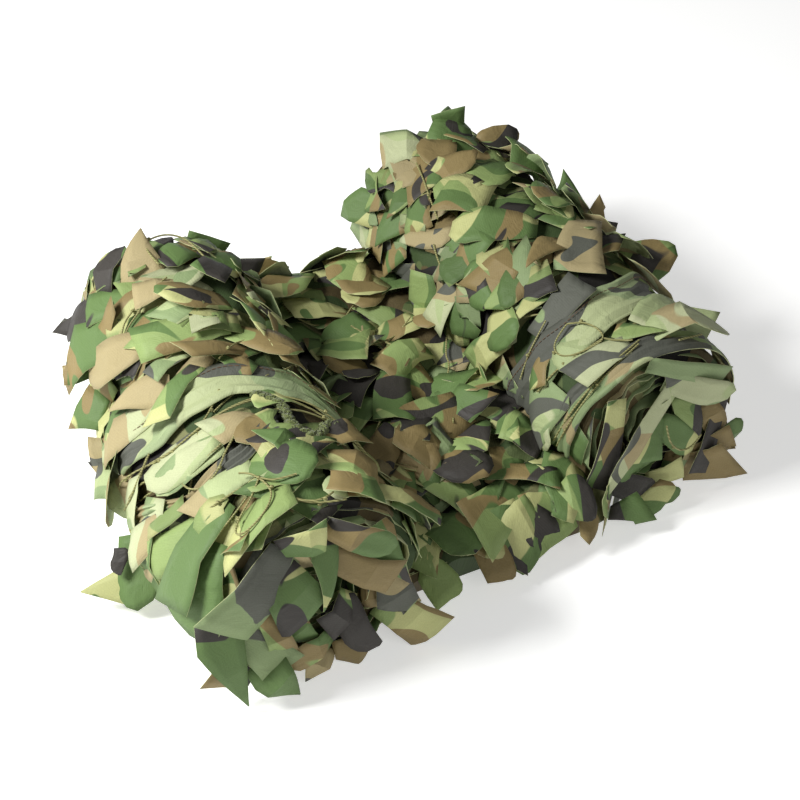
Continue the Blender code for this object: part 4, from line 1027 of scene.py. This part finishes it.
bm = bmesh.new()
draw = random.Random(93)
area = 0.0
spots = middle_of(WEB_LEAVES)
for layer in range(LEAF_LAYERS):
    for row in range(int(WEB_ALONG / WEB_FILL) + 1):
        for column in range(int(WEB_ACROSS / WEB_FILL) + 1):
            along = WEB_NEAR + (row + 0.5 * layer + draw.uniform(-0.4, 0.4)) * WEB_FILL
            across = WEB_LEFT + (column + 0.5 * (row % 2) + draw.uniform(-0.4, 0.4)) * WEB_FILL
            left, right, _ = web_row(along)
            heading = draw.uniform(0.0, 2.0 * math.pi)
            if along < NEAR_FRINGE:
                heading = -draw.uniform(0.15, 0.85) * math.pi
            if along > FAR_FRINGE:
                heading = draw.uniform(0.15, 0.85) * math.pi
            if not max(left + 20.0, WEB_LEFT) < across < min(right - 6.0, WEB_RIGHT) or along > WEB_FAR:
                continue
            if layer == 1 and not clear_of(spots, (across, along), heading):
                continue
            if along < NEAR_FRINGE or along > FAR_FRINGE:
                tip = (across + FRINGE_REACH * math.cos(heading),
                       max(along + FRINGE_REACH * math.sin(heading), -160.0))
                area += placed_leaf(bm, web_place, (across, along), tip, draw.uniform(26.0, 38.0),
                                    3.0 + 3.0 * layer, draw.choice(("lobe", "point", "square")),
                                    draw.choice(("mixed", "ground", "green", "soft")), False, draw)
                continue
            area += filler_leaf(bm, web_place, (across, along), heading, layer, FILL_LEANS["strip"], draw)
for row in WEB_LEAVES:
    area += placed_leaf(bm, web_place, *row, draw)
# round the open edges of the strip leaves hang down and turn in under it: the corners that
# each edge goes between, the height it hangs from and how far the tips stand out, in mm
HANGING_EDGES = (((-84.0, -154.0), (92.0, -156.0), 32.0, -14.0),
                 ((92.0, -160.0), (131.0, -127.0), 46.0, 0.0),
                 ((116.0, 207.0), (-46.0, 207.0), 46.0, -4.0))
HANGING_PITCH = 17.0
for start, stop, height, tuck in HANGING_EDGES:
    place = edge_place(start, stop)
    length = math.dist(start, stop)
    count = round(length / HANGING_PITCH)
    for number in range(count):
        across = (number + draw.uniform(0.2, 0.8)) / count * length
        shape = (draw.uniform(-0.1, 0.1), draw.uniform(-0.1, 0.1), draw.uniform(-0.3, 0.3), False,
                 draw.uniform(-0.7, 0.7), draw.randint(*KNEES), draw.uniform(-0.2, 0.0))
        tip = (across + draw.uniform(-14.0, 14.0), draw.uniform(2.0, 10.0))
        area += add_leaf(bm, place, (across, height), tip, draw.uniform(28.0, 38.0), (0.0, tuck),
                         draw.choice(("lobe", "point", "square", "blade")), shape, draw.random() < 0.3,
                         (0.90, draw.choice(("ground", "green", "soft", "mixed", "brown"))), draw)
finish_sheet(bm, "leaves_strip", GARNISH, NET, CLOTH_THICK)

# ---------------------------------------------------------------------------------------
# Edge bands. The edge of the net is bound with the same cloth, folded double with its back
# outward and stitched with brown thread; it winds slantwise round each roll. The second
# turn of the edge lies beside it as a narrower strap.
# ---------------------------------------------------------------------------------------
# the bands show the back of the cloth, a little greener than that of the leaves
PRINT_BAND = {**PRINT_BACK, "ground": "#A8B184", "soft": "#95A479"}
band_cloth = printed_cloth("woodland_print_back_of_the_band", PRINT_BAND, 0.66, 0.96)
# spun thread: a row of small dull brown stitches
thread, thread_tree, thread_shader = shader_material("spun_polyester_thread", 0.7)
ply = add_node(thread_tree, "ShaderNodeTexNoise", {"Scale": 900.0},
               {"Vector": add_node(thread_tree, "ShaderNodeTexCoord").outputs["Object"]})
thread_tree.links.new(mix_colours(thread_tree, ply.outputs[0], "#4A3524", "#7A5C40"),
                      thread_shader.inputs["Base Color"])

BAND_RISE = 0.0022
STRAP_RISE = 0.0026
BAND_THICK = 0.0007  # two layers of the cloth
BAND_LANES = 14
PLEAT = 0.0011  # depth of the long pleats
SEAM_LANE = 0.62  # the seam, as a share of the half width
SEAM_RISE = 0.0019  # above the band's middle
SEAM_RADIUS = 0.078  # mean radius of the rolls under the seam
SEAM_MARGIN = 4.0  # degrees at each end of a band without stitches
STITCH = 0.0042
STITCH_SHARE = 0.72  # of the stitch length that is thread on this side
THREAD_RADIUS = 0.00030
STRAP_CLOTH = {"left": 0.017, "right": 0.026}  # its cloth narrows where it is pulled tight

# the largest dark shapes of the print on the bands: degrees, reach, share of half width, reach, lean
BAND_SHAPES = {
    "left": [(-86, 26, 0.0, 1.3, 0.60), (4, 26, 0.7, 0.8, 0.60), (70, 18, 0.0, 1.1, 0.4)],
    "right": [(-88, 24, 0.0, 1.5, 0.60), (-34, 30, 0.95, 0.8, 0.50), (34, 18, -0.3, 0.7, 0.40),
              (60, 24, 0.7, 0.7, 0.50)],
}


def wound_strip(side_name, name, line, width, rise, seed, cloth, owner):
    """A strip of doubled cloth wound on a roll, pleated along its length where it is pulled.

    cloth is its tone and lean, and owner its slot, which is not used, and its node.
    """
    bm = bmesh.new()
    steps = int((line[-1][0] - line[0][0]) * 0.9)
    made = bmesh.ops.create_grid(bm, x_segments=steps, y_segments=BAND_LANES, size=1.0)
    uv_of = {}
    blob_of = {}
    for vert in made["verts"]:
        angle = blend(line[0][0] + 0.001, line[-1][0] - 0.001, (vert.co.x + 1.0) / 2.0)
        lane = vert.co.y
        run = math.radians(angle) * CLOTH_RADIUS
        slack = noise.noise(Vector((run / 0.05, lane * 2.6, seed)))
        pleat = PLEAT * math.cos(lane * 9.0 + 2.4 * noise.noise(Vector((run / 0.07, seed, 0.0))))
        edge = 0.0016 * noise.noise(Vector((run / 0.022, lane, seed + 4.0)))
        along = line_at(line, angle) * MM + lane * width / 2.0 + edge
        vert.co = roll_point(side_name, angle, along, rise + pleat + 0.0012 * slack)
        uv_of[vert] = (run + seed, along)
        if owner != NET:
            darkest = max(lean * (1.0 - math.hypot((angle - middle) / reach, (lane - off) / wide))
                          for middle, reach, off, wide, lean in BAND_SHAPES[side_name])
            blob_of[vert] = max(darkest, 0.0) / BLOB_LEAN
    lay_cloth(bm, made["verts"], uv_of, *cloth, blob_of)
    finish_sheet(bm, name, (band_cloth, back_cloth, edge_cloth), owner, BAND_THICK)


# roll, and where on the print its band and its strap start
for side_name, band_seed, strap_seed in (("left", 2.0, 4.3), ("right", 6.4, 8.1)):
    line = BAND_LINES[side_name]
    wound_strip(side_name, "band_" + side_name, line, BAND_WIDTH, BAND_RISE, band_seed,
                (0.95, "pale"), ("band_cloth_" + side_name, "edge_band_" + side_name))
    wound_strip(side_name, "strap_" + side_name, STRAP_LINES[side_name], STRAP_CLOTH[side_name],
                STRAP_RISE, strap_seed, (0.95, "strap"), NET)
    bm = bmesh.new()
    angle = line[0][0] + SEAM_MARGIN
    while angle < line[-1][0] - SEAM_MARGIN:
        along = line_at(line, angle) * MM + SEAM_LANE * BAND_WIDTH / 2.0
        start = roll_point(side_name, angle, along, BAND_RISE + SEAM_RISE)
        ahead = angle + math.degrees(STITCH * STITCH_SHARE / SEAM_RADIUS)
        along = line_at(line, ahead) * MM + SEAM_LANE * BAND_WIDTH / 2.0
        stop = roll_point(side_name, ahead, along, BAND_RISE + SEAM_RISE)
        way = stop - start
        made = bmesh.ops.create_cone(bm, cap_ends=True, segments=6, radius1=THREAD_RADIUS,
                                     radius2=THREAD_RADIUS, depth=way.length)
        turn = way.to_track_quat("Z", "Y").to_matrix().to_4x4()
        turn.translation = (start + stop) / 2.0
        bmesh.ops.transform(bm, matrix=turn, verts=made["verts"])
        angle += math.degrees(STITCH / SEAM_RADIUS)
    finish_mesh(bm, "seam_" + side_name, [thread], outward=False)

# ---------------------------------------------------------------------------------------
# Support mesh. The leaves are tied to a knotted mesh of thin two-ply string; on the rolls it
# shows as pairs of tight strings, slack loops and small knots between the leaves.
# ---------------------------------------------------------------------------------------
STRING_RADIUS = 0.00075  # a little under the real 0.9 mm, so that it looks as fine beside the leaves
KNOT_RADIUS = STRING_RADIUS * 2.1
# runs of string on each roll: rise above the cloth in mm, then (degrees from the top, mm along)
STRINGS = {
    "left": [
        (4.6, [(-104, 175), (-92, 180), (-62, 139), (-41, 129), (-23, 131), (2, 134), (24, 128), (40, 116),
               (59, 98), (74, 84)]),
        (4.2, [(-104, 170), (-78, 157), (-52, 134), (-32, 128), (-10, 131), (10, 130), (30, 120),
               (52, 100)]),
        (4.4, [(-105, 160), (-80, 132), (-55, 106), (-32, 101), (-14, 108), (1, 115), (16, 111), (34, 104),
               (57, 90), (70, 70)]),
        (6.4, [(-62, 139), (-84, 166), (-98, 176), (-104, 170), (-100, 158), (-79, 138), (-70, 142),
               (-64, 152)]),
        (6.0, [(-104, 165), (-81, 144), (-63, 126), (-56, 110), (-56, 98), (-51, 84), (-42, 78), (-33, 82),
               (-26, 93), (-16, 103)]),
        (7.5, [(-19, 47), (-29, 49), (-42, 53), (-52, 60)]),
        (7.5, [(-19, 47), (-32, 39), (-54, 34)]),
        (9.0, [(-19, 47), (-26, 37), (-38, 31), (-43, 19), (-38, 10), (-29, 9), (-20, 18), (-16, 32),
               (-19, 47)]),
        (9.0, [(-26, 62), (-22, 57), (-19, 47), (-13, 36), (-3, 33)]),
        (9.0, [(-98, 134), (-96, 120), (-98, 104), (-103, 92), (-108, 98), (-110, 112), (-106, 128),
               (-98, 134)]),
        (10.0, [(-6, 312), (-9, 338), (-3, 351), (8, 354), (17, 347), (21, 334), (22, 313)]),
        (5.0, [(-5, 300), (-20, 292), (-32, 288), (-42, 279), (-50, 262)]),
        (5.0, [(-4, 294), (-19, 287), (-29, 283), (-42, 273), (-52, 258)]),
        (5.4, [(27, 204), (14, 207), (4, 196), (-4, 186)]),
        (8.0, [(-9, 14), (-5, 6), (3, 3), (9, 10)]),
    ],
    "right": [
        (5.6, [(-31, 77), (-42, 75), (-48, 67), (-45, 54), (-34, 44), (-22, 40), (-20, 54), (-24, 70),
               (-31, 77)]),
        (5.0, [(-22, 42), (-18, 32), (-11, 25)]),
        (4.6, [(-74, 64), (-62, 59), (-49, 53), (-37, 47), (-22, 43)]),
        (4.8, [(-8, 22), (-14, 20), (-28, 18), (-43, 17), (-62, 20), (-80, 26), (-94, 34)]),
        (4.4, [(-10, 19), (-28, 15), (-44, 14), (-61, 16), (-80, 22), (-96, 30)]),
        (6.0, [(11, 6), (20, 8), (35, 16)]),
        (6.0, [(-52, 244), (-59, 230), (-61, 206), (-58, 185), (-50, 172)]),
        (6.0, [(-22, 330), (-26, 311), (-32, 286), (-39, 260)]),
        (4.4, [(-38, 96), (-49, 92), (-61, 90), (-77, 88)]),
    ],
}
# the slack string at the near end of the right roll, as (mm sideways, mm up), and how far it stands out
END_STRING = [(-5, 14), (-2, 0), (4, -11), (13, -19), (24, -18), (30, -9)]
END_STRING_OUT = 14.0  # mm
# two plies twisted together: a dull straw-coloured string with fine slanting ridges
string_stuff, string_tree, string_shader = shader_material("two_ply_polyester_string", 0.72)
string_uv = add_node(string_tree, "ShaderNodeTexCoord").outputs["Object"]
fibres = add_node(string_tree, "ShaderNodeTexNoise", {"Scale": 420.0, "Detail": 3.0}, {"Vector": string_uv})
lay = add_node(string_tree, "ShaderNodeTexWave", {"wave_type": "BANDS", "bands_direction": "DIAGONAL",
                                                  "Scale": 190.0, "Distortion": 1.5}, {"Vector": string_uv})
# the colour follows the lay that also makes the bump, darker in the grooves between the ridges: painted shade
string_tree.links.new(mix_colours(string_tree, lay.outputs[1], "#6E6C3E", "#9D9A66"),
                      string_shader.inputs["Base Color"])
string_relief = add_node(string_tree, "ShaderNodeMath", {"operation": "ADD"},
                         {0: lay.outputs[1], 1: fibres.outputs[0]})
string_bump = add_node(string_tree, "ShaderNodeBump", {"Strength": 0.4, "Distance": 0.0004},
                       {"Height": string_relief.outputs[0]})
string_tree.links.new(string_bump.outputs[0], string_shader.inputs["Normal"])


def tube_bmesh(bm, runs, radius):
    """Adds a round tube along each run of points to the bmesh."""
    curve = bpy.data.curves.new("run", "CURVE")
    curve.dimensions = "3D"
    curve.resolution_u = 5
    curve.bevel_depth = radius
    curve.bevel_resolution = 1
    curve.use_fill_caps = True
    for points in runs:
        spline = curve.splines.new("NURBS")
        spline.points.add(len(points) - 1)
        spline.order_u = 3
        spline.use_endpoint_u = True
        for point, spot in zip(spline.points, points):
            point.co = (*spot, 1.0)
    holder = bpy.data.objects.new("run", curve)
    bpy.context.scene.collection.objects.link(holder)
    graph = bpy.context.evaluated_depsgraph_get()
    data = bpy.data.meshes.new_from_object(holder.evaluated_get(graph), depsgraph=graph)
    bpy.data.objects.remove(holder, do_unlink=True)
    bm.from_mesh(data)
    bpy.data.meshes.remove(data)


RUNS_UNSEEN = 12  # more strings on each roll, that dip in and out of the leaves
STRIP_RUNS = 14
STRIP_STEP = 15.0  # mm

for side_name, roll in ROLLS.items():
    draw = random.Random(5 + int(roll["seed"]))
    runs = [[roll_point(side_name, angle, along * MM, rise * MM) for angle, along in points]
            for rise, points in STRINGS[side_name]]
    if side_name == "right":
        near_end = end_place("right", "near")
        runs.append([near_end(p, q, END_STRING_OUT) for p, q in END_STRING])
    for count in range(RUNS_UNSEEN):
        angle = draw.uniform(-140.0, 140.0)
        along = draw.uniform(10.0, roll["length"] / MM - 10.0)
        slant = draw.choice((-1.0, 1.0)) * draw.uniform(0.5, 1.4)
        points = []
        for step in range(draw.randint(4, 9)):
            points.append(roll_point(side_name, angle, along * MM, (1.0 + draw.uniform(-3.0, 3.0)) * MM))
            angle += draw.uniform(8.0, 15.0)
            along += slant * draw.uniform(6.0, 16.0)
            if not 4.0 < along < roll["length"] / MM - 4.0 or abs(angle) > 150.0:
                break
        if len(points) > 3:
            runs.append(points)
    bm = bmesh.new()
    tube_bmesh(bm, runs, STRING_RADIUS)
    # knots where the runs cross
    for points in runs:
        for spot in points[2:-1:5]:
            made = bmesh.ops.create_icosphere(bm, subdivisions=2, radius=KNOT_RADIUS)
            for vert in made["verts"]:
                vert.co *= 1.0 + 0.35 * noise.noise(vert.co * 900.0 + spot * 300.0)
                vert.co += spot
    finish_mesh(bm, "mesh_string_" + side_name, [string_stuff], outward=False)

bm = bmesh.new()
draw = random.Random(31)
runs = []
for count in range(STRIP_RUNS):
    across = draw.uniform(-85.0, 85.0)
    along = draw.uniform(-150.0, 190.0)
    heading = draw.uniform(0.0, 2.0 * math.pi)
    points = []
    for step in range(draw.randint(4, 8)):
        if not (-92.0 < across < 94.0 and -158.0 < along < 198.0):
            break
        points.append(web_place(across, along, draw.uniform(0.0, 8.0)))
        heading += draw.uniform(-0.6, 0.6)
        across += STRIP_STEP * math.cos(heading)
        along += STRIP_STEP * math.sin(heading)
    if len(points) > 3:
        runs.append(points)
tube_bmesh(bm, runs, STRING_RADIUS)
finish_mesh(bm, "mesh_string_strip", [string_stuff], outward=False)

# ---------------------------------------------------------------------------------------
# Tie cord. A fuzzy olive cord, two soft plies laid together, is drawn through the net; its
# loose end lies on the left roll below the edge band, bent once and frayed at its tip.
# ---------------------------------------------------------------------------------------
TIE_RADIUS = 0.0036
TIE_LAY = 0.012  # length of one twist of the plies
PLY_OFFSET = 0.54  # of a ply's middle from the cord's, as a share of its radius
PLY_SHARE = 0.70  # radius of a ply, as a share of the cord's
LUMPY = 0.0009
FIBRE_SHARE = 0.35  # share of the faces that carry a fibre
FIBRE_REACH = (0.0005, 0.0014)
TIE_LINE = [(2, 137, 3.7), (8, 127, 5.0), (13, 116, 3.7), (12, 102, 3.4), (14, 88, 3.6), (21, 80, 4.2),
            (28, 86, 3.8), (32, 96, 4.2), (39, 93, 3.6)]  # degrees, mm along, mm above the roll
# brushed yarn: one fine noise gives both its bump and its colour, dark olive in the hollows between the
# fibres as painted shade and paler olive on the raised fibres; the sheen makes the standing fibres glow
# faintly
tie_stuff, tie_tree, tie_shader = shader_material("fuzzy_olive_yarn", 0.95)
tie_place = add_node(tie_tree, "ShaderNodeTexCoord").outputs["Object"]
fuzz = add_node(tie_tree, "ShaderNodeTexNoise", {"Scale": 650.0, "Detail": 4.0, "Roughness": 0.7},
                {"Vector": tie_place})
tie_tree.links.new(mix_colours(tie_tree, fuzz.outputs[0], "#2F3A14", "#7F8A4A"),
                   tie_shader.inputs["Base Color"])
tie_shader.inputs["Sheen Weight"].default_value = 0.5
tie_bump = add_node(tie_tree, "ShaderNodeBump", {"Strength": 0.9, "Distance": 0.0012},
                    {"Height": fuzz.outputs[0]})
tie_tree.links.new(tie_bump.outputs[0], tie_shader.inputs["Normal"])

spine = [roll_point("left", angle, along * MM, rise * MM) for angle, along, rise in TIE_LINE]
path = []
for low, high in zip(spine, spine[1:]):
    path += [low.lerp(high, step / 6.0) for step in range(6)]
path.append(spine[-1])
for _ in range(6):
    path = [path[0]] + [(a + b * 2.0 + c) / 4.0 for a, b, c in zip(path, path[1:], path[2:])] + [path[-1]]
length = sum((b - a).length for a, b in zip(path, path[1:]))
bm = bmesh.new()
plies = []
for phase in (0.0, math.pi):
    points = []
    walked = 0.0
    for low, high in zip(path, path[1:]):
        ahead = (high - low).normalized()
        side = ahead.cross(Vector((0.0, 0.0, 1.0))).normalized()
        up = side.cross(ahead)
        turn = phase + walked / TIE_LAY * 2.0 * math.pi
        points.append(low + (side * math.cos(turn) + up * math.sin(turn)) * TIE_RADIUS * PLY_OFFSET)
        walked += (high - low).length
    plies.append(points)
tube_bmesh(bm, plies, TIE_RADIUS * PLY_SHARE)
bmesh.ops.subdivide_edges(bm, edges=bm.edges, cuts=1, use_grid_fill=True)
for vert in bm.verts:
    vert.co += vert.normal * LUMPY * noise.noise(vert.co * 900.0)
# short fibres that stand off the plies: small faces drawn out to a tip
draw = random.Random(12)
roots = [face for face in bm.faces if draw.random() < FIBRE_SHARE]
bmesh.ops.inset_individual(bm, faces=roots, thickness=0.00016)
for face in bmesh.ops.extrude_discrete_faces(bm, faces=roots)["faces"]:
    lean = (face.normal + Vector([draw.uniform(-0.8, 0.8) for _ in range(3)])).normalized()
    tip = face.calc_center_median() + lean * draw.uniform(*FIBRE_REACH)
    for vert in face.verts:
        vert.co = vert.co.lerp(tip, 0.92)
tie = finish_mesh(bm, "tie", [tie_stuff], ["tie_cord"], outward=False)
